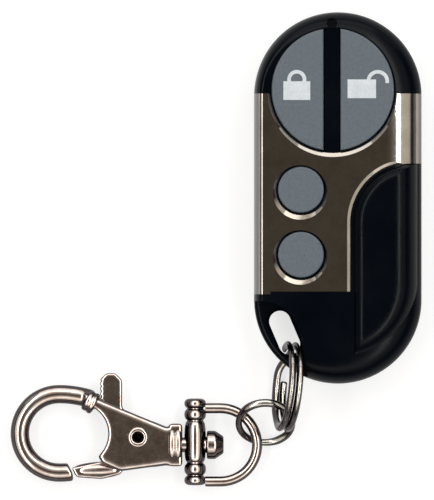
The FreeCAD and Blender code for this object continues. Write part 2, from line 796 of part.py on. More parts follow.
def rim_bevel(word, width, left, down):
    """The room over the bevel of a round hole, wider to the lower left than to the upper right."""
    x, y, radius = RIMS[word]
    body = new_body(f"{word}_bevel")
    low = circle_sketch(body, f"{word}_bevel_foot", trim_bevel_foot, x, y, radius)
    high = circle_sketch(body, f"{word}_bevel_top", plateau_height, x - left, y - down, radius + width)
    loft(body, [low, high], f"{word}_bevel_room")
    return body


bevels = [rim_bevel("circle", circle_bevel, 0, circle_bevel_drop)]
for word in ROUND_BUTTONS:
    bevels.append(rim_bevel(word, round_bevel, round_bevel_left, round_bevel_drop))
edge_bevel = new_body("trim_edge_bevel")
edge_low = bulge_sketch(edge_bevel, "trim_edge_bevel_foot", trim_bevel_foot, -trim_bulge_gap)
edge_high = bulge_sketch(edge_bevel, "trim_edge_bevel_top", plateau_height, -trim_bulge_gap - trim_edge_bevel)
loft(edge_bevel, [edge_low, edge_high], "trim_edge_bevel_room")
bevels.append(edge_bevel)
peg_places = [
    (round_x + round_radius + trim_peg_gap, trim_bottom_y + trim_peg_inset),
    (round_x + round_radius + trim_peg_gap, (upper_round_y + lower_round_y) / 2),
]
pegs = []
for index, (peg_x, peg_y) in enumerate(peg_places):
    bottom = trim_underside - trim_peg_length
    length = trim_peg_length + trim_thickness / 2
    pegs.append(cylinder(f"trim_peg{index}", peg_x, peg_y, bottom, trim_peg_radius, length))
chrome_trim = node("chrome_trim", fuse("ChromeTrim", cut("trim_sheet", trim_blank, *bevels), *pegs))

# Front cover: outer form, hollow below, with guide wells round the buttons
wells = [
    cylinder(
        "circle_well",
        circle_x,
        circle_y,
        deck_height,
        circle_hole_radius + well_wall,
        plateau_height - deck_height,
    )
]
for word, centre_y in ROUND_BUTTONS.items():
    wells.append(
        cylinder(
            f"{word}_well",
            round_x,
            centre_y,
            deck_height,
            round_hole_radius + well_wall,
            plateau_height - deck_height,
        )
    )
for index, (peg_x, peg_y) in enumerate(peg_places):
    peg_height = plateau_height - deck_height
    wells.append(cylinder(f"peg_well{index}", peg_x, peg_y, deck_height, peg_well_radius, peg_height))
cavity = cut("front_cavity", cavity_form, relief_form("cavity_relief", shell_wall, 0, full_height), *wells)
battery_bay = cylinder(
    "battery_bay",
    battery_x,
    contact_back_y,
    battery_height,
    battery_radius + battery_clearance * 3,
    battery_length + battery_nub_length + contact_boss_height + contact_thickness * 2,
    axis="y",
)
opening_floor = deck_height - OVERSHOOT


def half_circle(name, x_range):
    """One side of the big round opening, between two measures across."""
    height = full_height - opening_floor
    disc = cylinder(f"{name}_disc", circle_x, circle_y, opening_floor, circle_hole_radius, height)
    y_range = (circle_y - circle_reach, circle_y + circle_reach)
    window = box(f"{name}_window", x_range, y_range, (opening_floor, full_height))
    return common(name, disc, window)


front_cuts = [
    trim_blank,
    cavity,
    battery_bay,
    relief_form("front_relief", 0, 0, full_height),
    half_circle("left_opening", (far_left, divider_left_x)),
    half_circle("right_opening", (divider_right_x, far_right)),
    cylinder("lens_bore", lens_x, lens_y, parting_height, lens_radius, full_height),
    cylinder(
        "flange_room",
        circle_x,
        circle_y,
        parting_height,
        circle_radius + flange_width + button_gap,
        deck_height - parting_height,
    ),
    *pegs,
]
rim_drop = full_height - trim_bevel_foot
for word, (x, y, radius) in RIMS.items():
    front_cuts.append(cylinder(f"{word}_rim_drop", x, y, trim_bevel_foot, radius, rim_drop))
for word, centre_y in ROUND_BUTTONS.items():
    front_cuts.append(
        cylinder(f"{word}_opening", round_x, centre_y, opening_floor, round_hole_radius, full_height)
    )
front_hollow = cut("front_hollow", outer_form, *front_cuts)

# Locking lip round the parting line, which drops into the back cover
lip_inset = shell_wall / 2 + fit_clearance / 2
lip = cut(
    "front_lip",
    fob_prism("lip_outer", lip_inset, parting_height - lip_height, parting_height),
    fob_prism("lip_inner", shell_wall, parting_height - lip_height, parting_height),
    relief_form("lip_relief", shell_wall / 2, 0, full_height),
)

# Key ring lug: a thin web with rounded edges in the lower left corner
lug_blank = fob_prism("lug_blank", 0, lug_bottom, lug_top)
lug_pad = doc.getObject("lug_blank_prism")
lug_upper = round_face(lug_blank, lug_pad, "lug_upper_round", lug_top.value, lug_edge_radius)
round_face(lug_blank, lug_upper, "lug_lower_round", lug_bottom.value, lug_edge_radius)
lug_reach = fuse(
    "lug_reach",
    relief_form("lug_low_reach", -fit_clearance, lug_bottom, parting_height),
    relief_form("lug_high_reach", shell_wall / 2, parting_height, lug_top),
)
lug_web = common("lug_web", lug_blank, lug_reach)
eyelet_body = new_body("eyelet_slot")
eyelet_ends = ((eyelet_upper_x, eyelet_upper_y), (eyelet_lower_x, eyelet_lower_y))
eyelet_outline = slot_sketch(eyelet_body, "eyelet_outline", 0, *eyelet_ends, eyelet_radius)
pad(eyelet_body, eyelet_outline, "eyelet_prism", full_height)
for word, face, inward in (("upper", lug_top, -eyelet_flare), ("lower", lug_bottom, eyelet_flare)):
    narrow = slot_sketch(eyelet_body, f"eyelet_{word}_throat", face + inward, *eyelet_ends, eyelet_radius)
    wide = slot_sketch(eyelet_body, f"eyelet_{word}_mouth", face, *eyelet_ends, eyelet_radius + eyelet_flare)
    loft(eyelet_body, [narrow, wide], f"eyelet_{word}_flare")

# Screw bosses of both covers, with the pilot holes for the screws
SCREWS = {"upper": (upper_screw_x, upper_screw_y), "lower": (lower_screw_x, lower_screw_y)}
head_top = screw_recess + screw_head_height
screw_tip = deck_height
pilot_start = parting_height - OVERSHOOT
front_bosses = []
back_bosses = []
pilot_holes = []
screw_cuts = []
screws = []
for word, (screw_x, screw_y) in SCREWS.items():
    boss = cylinder(
        f"{word}_front_boss",
        screw_x,
        screw_y,
        parting_height,
        screw_boss_radius,
        plateau_height - trim_thickness * 2 - parting_height,
    )
    front_bosses.append(boss)
    pilot_holes.append(
        cylinder(f"{word}_pilot", screw_x, screw_y, pilot_start, screw_radius, screw_tip - pilot_start)
    )
    back_bosses.append(
        cylinder(
            f"{word}_back_boss",
            screw_x,
            screw_y,
            0,
            screw_boss_radius,
            parting_height,
        )
    )
    screw_cuts.append(
        cylinder(
            f"{word}_head_recess",
            screw_x,
            screw_y,
            -OVERSHOOT,
            screw_head_radius,
            head_top + OVERSHOOT,
        )
    )
    screw_cuts.append(
        cylinder(f"{word}_shank_hole", screw_x, screw_y, 0, screw_radius + fit_clearance, parting_height)
    )
    shank = cylinder(f"{word}_shank", screw_x, screw_y, screw_recess, screw_radius, screw_tip - screw_recess)
    head = cylinder(
        f"{word}_head",
        screw_x,
        screw_y,
        screw_recess,
        screw_head_radius - fit_clearance / 2,
        screw_head_height,
    )
    drive_floor = screw_recess + screw_head_height / 2
    half_long = drive_length / 2
    half_wide = drive_width / 2
    drive = []
    for turn_name, half_x, half_y in (("bar", half_long, half_wide), ("cross", half_wide, half_long)):
        drive.append(
            box(
                f"{word}_drive_{turn_name}",
                (screw_x - half_x, screw_x + half_x),
                (screw_y - half_y, screw_y + half_y),
                (0, drive_floor),
            )
        )
    screws.append(cut(f"{word}_screw", fuse(f"{word}_screw_blank", shank, head), *drive))

front_solid = fuse("front_solid", front_hollow, lip, lug_web, *front_bosses)
front_cover = node("front_cover", cut("FrontCover", front_solid, eyelet_body, *pilot_holes))
cover_screws = doc.addObject("Part::Compound", "CoverScrews")
cover_screws.Links = screws
node("cover_screws", cover_screws)

# Back cover: a tray with rounded lower edges
back_blank = fob_prism("back_blank", 0, 0, parting_height)
round_face(back_blank, doc.getObject("back_blank_prism"), "back_edge_round", 0, back_edge_radius)
tray_cut = cut(
    "tray_cut",
    fob_prism("tray_prism", shell_wall, shell_wall, full_height),
    relief_form("tray_relief", shell_wall, 0, full_height),
)
rebate_floor = parting_height - lip_height - fit_clearance
rebate = cut(
    "back_rebate",
    fob_prism("rebate_prism", lip_inset - fit_clearance, rebate_floor, full_height),
    relief_form("rebate_relief", shell_wall / 2 - fit_clearance, 0, full_height),
)
board_posts = []
POST_PLACES = [
    (circle_x - circle_radius + board_post_inset, circle_y + board_post_inset),
    (circle_x + circle_radius - board_post_inset, circle_y + board_post_inset),
    (round_x - round_radius, (upper_round_y + lower_round_y) / 2),
    (circle_x, (upper_round_y + lower_round_y) / 2 - round_radius),
]
post_foot = shell_wall / 2
post_length = board_bottom - post_foot
for index, (post_x, post_y) in enumerate(POST_PLACES):
    board_posts.append(
        cylinder(f"board_post{index}", post_x, post_y, post_foot, board_post_radius, post_length)
    )
stop_rib = box(
    "contact_stop_rib",
    (battery_x - contact_width / 2, battery_x + contact_width / 2),
    (contact_back_y - cradle_thickness, contact_back_y),
    (post_foot, rebate_floor - fit_clearance),
)
cradle_blank = box(
    "cradle_blank",
    (battery_x - battery_radius, battery_x + battery_radius),
    (battery_bottom_y + battery_length / 2, battery_bottom_y + battery_length / 2 + cradle_thickness),
    (post_foot, battery_height - battery_radius / 2),
)
cradle_bed = cylinder(
    "cradle_bed",
    battery_x,
    battery_bottom_y,
    battery_height,
    battery_radius + battery_clearance,
    battery_length,
    axis="y",
)
cradle = cut("battery_cradle", cradle_blank, cradle_bed)
back_hollow = cut(
    "back_hollow",
    back_blank,
    tray_cut,
    rebate,
    relief_form("back_relief", 0, -OVERSHOOT, full_height),
)
back_solid = fuse("back_solid", back_hollow, cradle, stop_rib, *board_posts, *back_bosses)
back_cover = node("back_cover", cut("BackCover", back_solid, *screw_cuts))

# Buttons: a cap in its opening, a flange under the deck
def button_body(name, label, outline, flange_outline):
    """A cap with a rounded face over a wider flange."""
    flange = common(f"{name}_flange_blank", *flange_outline)
    cap_blank = common(f"{name}_cap_blank", *outline)
    joined = fuse(f"{name}_joined", flange, cap_blank)
    rounded = doc.addObject("Part::Fillet", name)
    rounded.Base = joined
    doc.recompute()
    radius = button_edge_radius.value
    level = button_top.value
    edges = []
    for number, edge in enumerate(joined.Shape.Edges, start=1):
        if abs(edge.CenterOfMass.z - level) < LEVEL_TOLERANCE:
            edges.append((number, radius, radius))
    rounded.Edges = edges
    return node(label, rounded)


BUTTON_SIDES = {
    "lock_button": (far_left, divider_left_x - button_gap),
    "unlock_button": (divider_right_x + button_gap, far_right),
}
cap_height = button_top - flange_bottom
for label, x_range in BUTTON_SIDES.items():
    y_range = (circle_y - circle_reach, circle_y + circle_reach)
    cap = [
        cylinder(f"{label}_cap_disc", circle_x, circle_y, flange_bottom, circle_radius, cap_height),
        box(f"{label}_cap_side", x_range, y_range, (flange_bottom, button_top)),
    ]
    flange_radius = circle_radius + flange_width
    flange = [
        cylinder(f"{label}_flange_disc", circle_x, circle_y, flange_bottom, flange_radius, flange_thickness),
        box(f"{label}_flange_side", x_range, y_range, (flange_bottom, deck_height)),
    ]
    button_body(f"Body_{label}", label, cap, flange)
for word, centre_y in ROUND_BUTTONS.items():
    label = f"{word}_round_button"
    side = round_radius + flange_width
    around = ((round_x - side, round_x + side), (centre_y - side, centre_y + side))
    cap = [
        cylinder(f"{label}_cap_disc", round_x, centre_y, flange_bottom, round_radius, cap_height),
        box(f"{label}_cap_side", around[0], around[1], (flange_bottom, button_top)),
    ]
    flange = [
        cylinder(f"{label}_flange_disc", round_x, centre_y, flange_bottom, side, flange_thickness),
        box(f"{label}_flange_side", around[0], around[1], (flange_bottom, deck_height)),
    ]
    button_body(f"Body_{label}", label, cap, flange)

# Printed padlocks: a plain block with a closed or an open shackle
def shackle(name, centre_x, centre_y, radius, foot_y):
    """A ring stroke kept above the level of its feet."""
    inner_radius = radius - shackle_stroke
    outer = cylinder(f"{name}_outer", centre_x, centre_y, button_top, radius, print_thickness)
    inner = cylinder(f"{name}_inner", centre_x, centre_y, button_top, inner_radius, print_thickness)
    keep = box(
        f"{name}_keep",
        (centre_x - radius, centre_x + radius),
        (foot_y, centre_y + radius),
        (button_top, button_top + print_thickness),
    )
    return common(f"{name}_arch", cut(f"{name}_ring", outer, inner), keep)


lock_top_y = lock_bottom_y + lock_body_height
print_range = (button_top, button_top + print_thickness)
lock_block = box(
    "lock_block",
    (lock_x - lock_width / 2, lock_x + lock_width / 2),
    (lock_bottom_y, lock_top_y),
    print_range,
)
closed_shackle = shackle("closed_shackle", lock_x, lock_top_y + shackle_leg, shackle_radius, lock_top_y)
node("lock_symbol", fuse("LockSymbol", lock_block, closed_shackle))
unlock_top_y = lock_top_y + shackle_leg
unlock_block = box(
    "unlock_block",
    (unlock_x - unlock_width / 2, unlock_x + unlock_width / 2),
    (lock_bottom_y + shackle_leg, unlock_top_y),
    print_range,
)
open_foot_y = unlock_top_y - shackle_stroke
opened = shackle("open_shackle", open_shackle_x, unlock_top_y - shackle_leg, open_shackle_radius, open_foot_y)
node("unlock_symbol", fuse("UnlockSymbol", unlock_block, opened))

# Circuit board: the inner outline less the battery bay, the lug corner and the screw bosses
board_blank = fob_prism("board_blank", shell_wall + board_gap, board_bottom, board_top)
board_edge_x = battery_x - battery_radius - board_gap * 2
board_cuts = [
    box(
        "board_battery_cut",
        (board_edge_x, edge_reach),
        (-fob_radius - fob_arc_offset, battery_end_y + board_gap),
        (0, full_height),
    ),
    relief_form("board_relief", shell_wall + board_gap, 0, full_height),
    box("board_end_cut", (-edge_reach, edge_reach), (low_reach, lower_screw_y), (0, full_height)),
]
for word, (screw_x, screw_y) in SCREWS.items():
    board_cuts.append(
        cylinder(f"board_{word}_hole", screw_x, screw_y, 0, screw_boss_radius + board_gap, full_height)
    )
circuit_board = node("circuit_board", cut("CircuitBoard", board_blank, *board_cuts))

# Tactile switches and their stems, one under each button
SWITCHES = {
    "lock": (left_half_x, circle_y),
    "unlock": (right_half_x, circle_y),
    "upper": (round_x, upper_round_y),
    "lower": (round_x, lower_round_y),
}
half_switch = switch_width / 2
stem_foot = board_top + switch_height / 3 - stem_clearance
seal_holes = []
for word, (switch_x, switch_y) in SWITCHES.items():
    case = box(
        f"{word}_switch_case",
        (switch_x - half_switch, switch_x + half_switch),
        (switch_y - half_switch, switch_y + half_switch),
        (board_top, switch_top),
    )
    bore = cylinder(
        f"{word}_switch_bore",
        switch_x,
        switch_y,
        board_top + switch_height / 3 - button_travel,
        stem_radius + stem_clearance,
        full_height,
    )
    node(f"{word}_switch", cut(f"Switch_{word}", case, bore))
    stem = cylinder(
        f"Stem_{word}",
        switch_x,
        switch_y,
        stem_foot + stem_clearance * 2,
        stem_radius,
        flange_bottom - stem_foot - stem_clearance * 2,
    )
    node(f"{word}_switch_stem", stem)
    seal_holes.append(
        cylinder(f"{word}_seal_hole", switch_x, switch_y, 0, stem_radius + seal_hole_gap, full_height)
    )

# Dust seal: a soft sheet lying on the switches
seal_blank = fob_prism("seal_blank", shell_wall + board_gap * 2, switch_top, seal_top)
seal_cuts = [
    box(
        "seal_battery_cut",
        (board_edge_x, edge_reach),
        (-fob_radius - fob_arc_offset, battery_end_y + contact_foot + board_gap * 2),
        (0, full_height),
    ),
    relief_form("seal_relief", shell_wall + board_gap * 2, 0, full_height),
    box("seal_end_cut", (-edge_reach, edge_reach), (low_reach, lower_screw_y), (0, full_height)),
    box(
        "seal_lens_cut",
        (-fob_radius, fob_radius),
        (lens_y - lens_radius - board_gap - led_width, -low_reach),
        (0, full_height),
    ),
]
for word, (screw_x, screw_y) in SCREWS.items():
    seal_cuts.append(
        cylinder(f"seal_{word}_hole", screw_x, screw_y, 0, screw_boss_radius + board_gap, full_height)
    )
node("dust_seal", cut("DustSeal", seal_blank, *seal_cuts, *seal_holes))


# Parts soldered to the board
def board_block(name, x, y, length, width, height):
    """A block standing on the board, centred on a place."""
    return box(
        name,
        (x - length / 2, x + length / 2),
        (y - width / 2, y + width / 2),
        (board_top, board_top + height),
    )


chip_x = round_x + round_radius + chip_width / 2 - chip_lap
chip_y = (upper_round_y + lower_round_y) / 2
node("encoder_chip", board_block("EncoderChip", chip_x, chip_y, chip_width, chip_length, chip_height))
resonator_y = circle_y - circle_radius
node(
    "saw_resonator",
    cylinder("SawResonator", circle_x, resonator_y, board_top, resonator_radius, resonator_height),
)
transistor_x = battery_x - transistor_length
node(
    "rf_transistor",
    board_block(
        "RfTransistor",
        transistor_x,
        circle_y - circle_radius + resonator_radius,
        transistor_length,
        transistor_width,
        transistor_height,
    ),
)
resistors = []
resistor_size = (resistor_length, resistor_width, resistor_height)
for index in range(RESISTOR_COUNT):
    resistor_y = circle_y - resistor_pitch * (index - (RESISTOR_COUNT - 1) / 2)
    resistors.append(board_block(f"resistor{index}", circle_x, resistor_y, *resistor_size))
resistor_group = doc.addObject("Part::Compound", "ChipResistors")
resistor_group.Links = resistors
node("chip_resistors", resistor_group)
antenna_inset = shell_wall + board_gap * 2
antenna = cut(
    "AntennaTrack",
    fob_prism("antenna_outer", antenna_inset, board_top, board_top + antenna_thickness),
    fob_prism("antenna_inner", antenna_inset + antenna_width, 0, full_height),
    box(
        "antenna_end_cut",
        (-edge_reach, edge_reach),
        (low_reach, circle_y - circle_radius + led_length),
        (0, full_height),
    ),
)
node("antenna_track", antenna)
led_y = lens_y - antenna_width - led_width / 2 - board_gap
node("indicator_led", board_block("IndicatorLed", lens_x, led_y, led_length, led_width, led_height))
lens_bar = cylinder("lens_bar", lens_x, lens_y, board_top + led_height, lens_radius, full_height)
lens_outer = front_form("lens_limit", 0, parting_height, plateau_height)
node("led_lens", common("LedLens", lens_bar, lens_outer))

# Battery and contacts
can = cylinder(
    "battery_can",
    battery_x,
    battery_bottom_y,
    battery_height,
    battery_radius,
    battery_length,
    axis="y",
)
nub = cylinder(
    "battery_nub", battery_x, battery_top_y, battery_height, battery_nub_radius, battery_nub_length, axis="y"
)
node("battery", fuse("Battery", can, nub))
contact_x_range = (battery_x - contact_width / 2, battery_x + contact_width / 2)
contact_top = battery_height + contact_width / 2
positive_blade = box(
    "positive_blade",
    contact_x_range,
    (battery_end_y, battery_end_y + contact_thickness),
    (board_top, contact_top),
)
positive_foot = box(
    "positive_foot",
    (contact_x_range[0], upper_screw_x - screw_boss_radius - board_gap),
    (battery_end_y, battery_end_y + contact_foot),
    (board_top, board_top + contact_thickness),
)
node("battery_contact_positive", fuse("ContactPositive", positive_blade, positive_foot))
negative_blade = box(
    "negative_blade",
    contact_x_range,
    (contact_back_y, contact_back_y + contact_thickness),
    (shell_wall, contact_top),
)
negative_boss = cone(
    "negative_boss",
    battery_x,
    contact_back_y + contact_thickness,
    battery_height,
    contact_boss_radius,
    contact_boss_radius / 2,
    contact_boss_height,
    axis="y",
)
node("battery_contact_negative", fuse("ContactNegative", negative_blade, negative_boss))


# Split ring: two turns of flat wire with one step between them
strap_bottom_y = -fob_arc_offset - root(fob_radius * fob_radius - eyelet_lower_x * eyelet_lower_x)
strap_y = (eyelet_lower_y - eyelet_radius + strap_bottom_y) / 2
hang_vector = Vector(-math.sin(math.radians(split_yaw.value)), -math.cos(math.radians(split_yaw.value)), 0)
level_across = Vector(hang_vector.y, -hang_vector.x, 0)
lean = math.radians(split_lean.value)
rise_vector = level_across * (-math.sin(lean)) + Vector(0, 0, math.cos(lean))
split_axis = hang_vector.cross(rise_vector)
bundle_half = (split_turn_pitch.value + split_wire_axial.value) / 2
split_height = (
    split_outer_radius.value * math.cos(lean) + bundle_half * math.sin(lean) + floor_gap.value
)
split_start = Vector(eyelet_lower_x.value + split_side_shift.value, strap_y.value, 0)
split_centre = split_start + hang_vector * split_hang.value
split_centre.z = split_height
split_mean_radius = split_outer_radius.value - split_wire_radial.value / 2


def split_point(degrees, offset):
    """A place on the ring at an angle from the hanging direction, offset along its axis."""
    angle = math.radians(degrees)
    spoke = hang_vector * math.cos(angle) + rise_vector * math.sin(angle)
    return split_centre + spoke * split_mean_radius + split_axis * offset


def split_tangent(degrees):
    """The direction of the wire at an angle."""
    angle = math.radians(degrees)
    return rise_vector * math.cos(angle) - hang_vector * math.sin(angle)


def arc_through(start, tangent, end):
    """The arc that leaves start along tangent and reaches end."""
    chord = end - start
    unit = Vector(chord).normalize()
    half_turn = tangent.getAngle(unit)
    bow = (tangent - unit * tangent.dot(unit)).normalize()
    middle = start + chord * 0.5 + bow * (chord.Length / 2 * math.tan(half_turn / 2))
    return Part.Arc(start, middle, end)


def biarc(start, start_tangent, end, end_tangent):
    """Two arcs that join two places smoothly."""
    span = end - start
    both = start_tangent + end_tangent
    closing = 2 * (1 - start_tangent.dot(end_tangent))
    forward = span.dot(both)
    handle = (math.sqrt(forward**2 + closing * span.dot(span)) - forward) / closing
    first = start + start_tangent * handle
    second = end - end_tangent * handle
    meeting = (first + second) * 0.5
    middle_tangent = (second - first).normalize()
    return [arc_through(start, start_tangent, meeting), arc_through(meeting, middle_tangent, end)]


def split_ring_path():
    """Flat turn, step, flat turn."""
    low = -split_turn_pitch.value / 2
    high = -low
    step_start = split_step_angle.value
    step_end = step_start + split_step_span.value
    tail_gap = math.degrees(split_wire_axial.value / split_mean_radius)
    arcs = []
    turns = (
        (step_end - 360 + tail_gap, step_start, low),
        (step_end, step_start + 360 - tail_gap, high),
    )
    for first, last, offset in turns:
        quarter = (last - first) / 4
        for index in range(4):
            start = first + quarter * index
            ends = split_point(start, offset), split_point(start + quarter, offset)
            arcs.append(arc_through(ends[0], split_tangent(start), ends[1]))
        if offset == low:
            arcs += biarc(
                split_point(step_start, low),
                split_tangent(step_start),
                split_point(step_end, high),
                split_tangent(step_end),
            )
    return arcs


split_arcs = split_ring_path()
split_wire = Part.Wire([arc.toShape() for arc in split_arcs])
section_start = split_arcs[0].StartPoint
spoke_direction = section_start - split_centre
spoke_direction = (spoke_direction - split_axis * spoke_direction.dot(split_axis)).normalize()
half_radial = split_wire_radial.value / 2
half_axial = split_wire_axial.value / 2
section = Part.Ellipse(
    section_start + spoke_direction * half_radial,
    section_start + split_axis * half_axial,
    section_start,
)
split_solid = split_wire.makePipeShell([Part.Wire([section.toShape()])], True, False)
split_ring = doc.addObject("Part::Feature", "SplitRing")
split_ring.Shape = split_solid
node("split_ring", split_ring)
SAMPLE_COUNT = 240
NEAR_SAMPLES = 40
samples = split_wire.discretize(Number=SAMPLE_COUNT)
least = min(
    (first - second).Length
    for index, first in enumerate(samples)
    for second in samples[index + NEAR_SAMPLES :]
)
print(f"split ring: least gap between turns {least - split_wire_axial.value:.3f} mm")
expected = math.pi * half_radial * half_axial * split_wire.Length
print(f"split ring: volume {split_solid.Volume:.2f}, section times length {expected:.2f}")

# Jump ring: a plain closed ring, tilted through the split ring and the swivel loop
jump_ring = doc.addObject("Part::Torus", "JumpRing")
jump_ring.Placement = FreeCAD.Placement(Vector(), FreeCAD.Rotation(Vector(1, 0, 0), 1))
set_expression(jump_ring, "Radius1", jump_radius)
set_expression(jump_ring, "Radius2", jump_wire_radius)
set_expression(jump_ring, "Placement.Rotation.Angle", jump_tilt)
jump_height = jump_radius * sine(jump_tilt) + jump_wire_radius + floor_gap
place(jump_ring, jump_x, jump_y, jump_height)
node("jump_ring", jump_ring)

# Swivel loop: a round bow closed by a square bar with a boss for the post
bow = torus_arc("loop_bow", loop_centre_x, swivel_y, swivel_height, loop_radius, loop_wire_radius, -90, 180)
bar_right_x = bar_left_x + bar_width
web_left_x = bar_left_x + (bar_width - bar_web_width) / 2
loop_parts = [bow]
for word, side in (("upper", 1), ("lower", -1)):
    wire_y = swivel_y + loop_radius * side
    leg_start = web_left_x + bar_web_width / 2
    leg_length = loop_centre_x - leg_start
    loop_parts.append(
        cylinder(f"{word}_leg", leg_start, wire_y, swivel_height, loop_wire_radius, leg_length, axis="x")
    )
    outer_y = swivel_y + (loop_radius + loop_wire_radius) * side
    inner_y = outer_y - block_length * side
    y_range = (inner_y, outer_y) if side > 0 else (outer_y, inner_y)
    loop_parts.append(
        box(
            f"{word}_block",
            (bar_left_x, bar_right_x),
            y_range,
            (swivel_height - block_height / 2, swivel_height + block_height / 2),
        )
    )
loop_parts.append(
    box(
        "bar_web",
        (web_left_x, web_left_x + bar_web_width),
        (swivel_y - loop_radius, swivel_y + loop_radius),
        (swivel_height - bar_web_height / 2, swivel_height + bar_web_height / 2),
    )
)
loop_parts.append(
    box(
        "bar_boss",
        (bar_left_x, bar_right_x),
        (swivel_y - boss_length / 2, swivel_y + boss_length / 2),
        (swivel_height - boss_height / 2, swivel_height + boss_height / 2),
    )
)
post_bore = cylinder(
    "post_bore",
    bar_left_x - OVERSHOOT,
    swivel_y,
    swivel_height,
    post_radius + post_clearance,
    bar_width + OVERSHOOT * 2,
    axis="x",
)
node("swivel_loop", cut("SwivelLoop", fuse("loop_blank", *loop_parts), post_bore))

# Swivel post: a headed pin fixed in the neck of the clasp
neck_right_x = bar_left_x - swivel_gap
head_x = bar_right_x + swivel_gap
pin = cylinder(
    "post_pin",
    neck_right_x - post_grip,
    swivel_y,
    swivel_height,
    post_radius,
    head_x - neck_right_x + post_grip + post_head_length / 2,
    axis="x",
)
head_disc = cylinder(
    "post_head_disc",
    head_x,
    swivel_y,
    swivel_height,
    post_head_radius,
    post_head_length / 2,
    axis="x",
)
head_taper = cone(
    "post_head_taper",
    head_x + post_head_length / 2,
    swivel_y,
    swivel_height,
    post_head_radius,
    post_end_radius,
    post_head_length / 2,
    axis="x",
)
node("swivel_post", fuse("SwivelPost", pin, head_disc, head_taper))

# Clasp body: a flat plate with a neck, a round hook and a slot for the lever
plate = new_body("clasp_plate")
plate_sketch = polygon_sketch(
    plate,
    "clasp_plate_outline",
    plate_bottom,
    [
        (nose_x, nose_y),
        (nose_x, hook_y),
        (rim_x, rim_y),
        (heel_x, heel_y),
        (plate_right_x, plate_bottom_y),
        (plate_right_x, plate_top_y),
    ],
)
plate_pad = pad(plate, plate_sketch, "clasp_plate_pad", plate_thickness)
plate_upper = round_face(plate, plate_pad, "clasp_plate_upper_round", plate_top.value, plate_edge_radius)
round_face(plate, plate_upper, "clasp_plate_lower_round", plate_bottom.value, plate_edge_radius)
neck = box(
    "clasp_neck",
    (neck_right_x - neck_length, neck_right_x),
    (swivel_y - neck_width / 2, swivel_y + neck_width / 2),
    (plate_bottom, plate_top),
)
bend = torus_arc("hook_bend", hook_x, hook_y, swivel_height, hook_radius, hook_wire_radius, 90, 180)
flat_drop = hook_flat_radius - hook_radius
hook_top = torus_arc(
    "hook_top",
    hook_x,
    hook_y - flat_drop,
    swivel_height,
    hook_flat_radius,
    hook_wire_radius,
    90 - hook_top_sweep,
    hook_top_sweep,
)
hook_tip = torus_arc(
    "hook_tip",
    hook_x,
    hook_y + flat_drop,
    swivel_height,
    hook_flat_radius,
    hook_wire_radius,
    270,
    hook_tip_sweep,
)
plate_opened = cut(
    "clasp_plate_opened",
    plate,
    cylinder("clasp_opening", opening_x, hook_y, -OVERSHOOT, opening_radius, clasp_cut_height),
)
clasp_blank = fuse("clasp_blank", plate_opened, neck, hook_top, bend, hook_tip)
slot_floor_y = gate_bottom_y - OVERSHOOT * 3
slot_bottom = swivel_height - slot_height / 2
slot_top = swivel_height + slot_height / 2
lever_slot = box(
    "lever_slot",
    (slot_left_x, slot_right_x),
    (slot_floor_y, thumb_top_y + OVERSHOOT),
    (slot_bottom, slot_top),
)
tip_reach = gate_tip_radius + gate_tip_gap
tip_limit = cylinder("gate_tip_limit", rivet_x, rivet_y, -OVERSHOOT, tip_reach, clasp_cut_height)
tip_y_range = (slot_floor_y, gate_tip_top_y + hook_tip_rise)
tip_z_range = (-OVERSHOOT, plate_top + OVERSHOOT)
tip_window = box("gate_tip_window", (hook_x, rivet_x), tip_y_range, tip_z_range)
tip_cut = common("gate_tip_cut", tip_limit, tip_window)
hook_side = box("hook_side", (hook_x, rim_x - hook_tip_inset), tip_y_range, tip_z_range)
rivet_seat_depth = plate_bottom + rivet_head_height + OVERSHOOT
clasp_body = cut(
    "ClaspBody",
    clasp_blank,
    lever_slot,
    common("hook_tip_trim", tip_cut, hook_side),
    cylinder("rivet_bore", rivet_x, rivet_y, -OVERSHOOT, rivet_radius, clasp_cut_height),
    cylinder("rivet_seat", rivet_x, rivet_y, -OVERSHOOT, rivet_foot_radius, rivet_seat_depth),
    cylinder(
        "post_socket",
        neck_right_x - post_grip,
        swivel_y,
        swivel_height,
        post_radius,
        post_grip + OVERSHOOT,
        axis="x",
    ),
)
node("clasp_body", clasp_body)

# Gate rivet with a hollow head
rivet = fuse(
    "rivet_blank",
    cylinder("rivet_shank", rivet_x, rivet_y, plate_bottom, rivet_radius, plate_thickness),
    cylinder("rivet_foot", rivet_x, rivet_y, plate_bottom, rivet_foot_radius, rivet_head_height),
    cone(
        "rivet_head",
        rivet_x,
        rivet_y,
        plate_top,
        rivet_head_radius,
        rivet_crown_radius,
        rivet_head_height,
    ),
)
rivet_hole_floor = plate_top + rivet_head_height - rivet_hole_depth
rivet_hole = cylinder("rivet_hole", rivet_x, rivet_y, rivet_hole_floor, rivet_hole_radius, rivet_hole_depth)
node("gate_rivet", cut("GateRivet", rivet, rivet_hole))

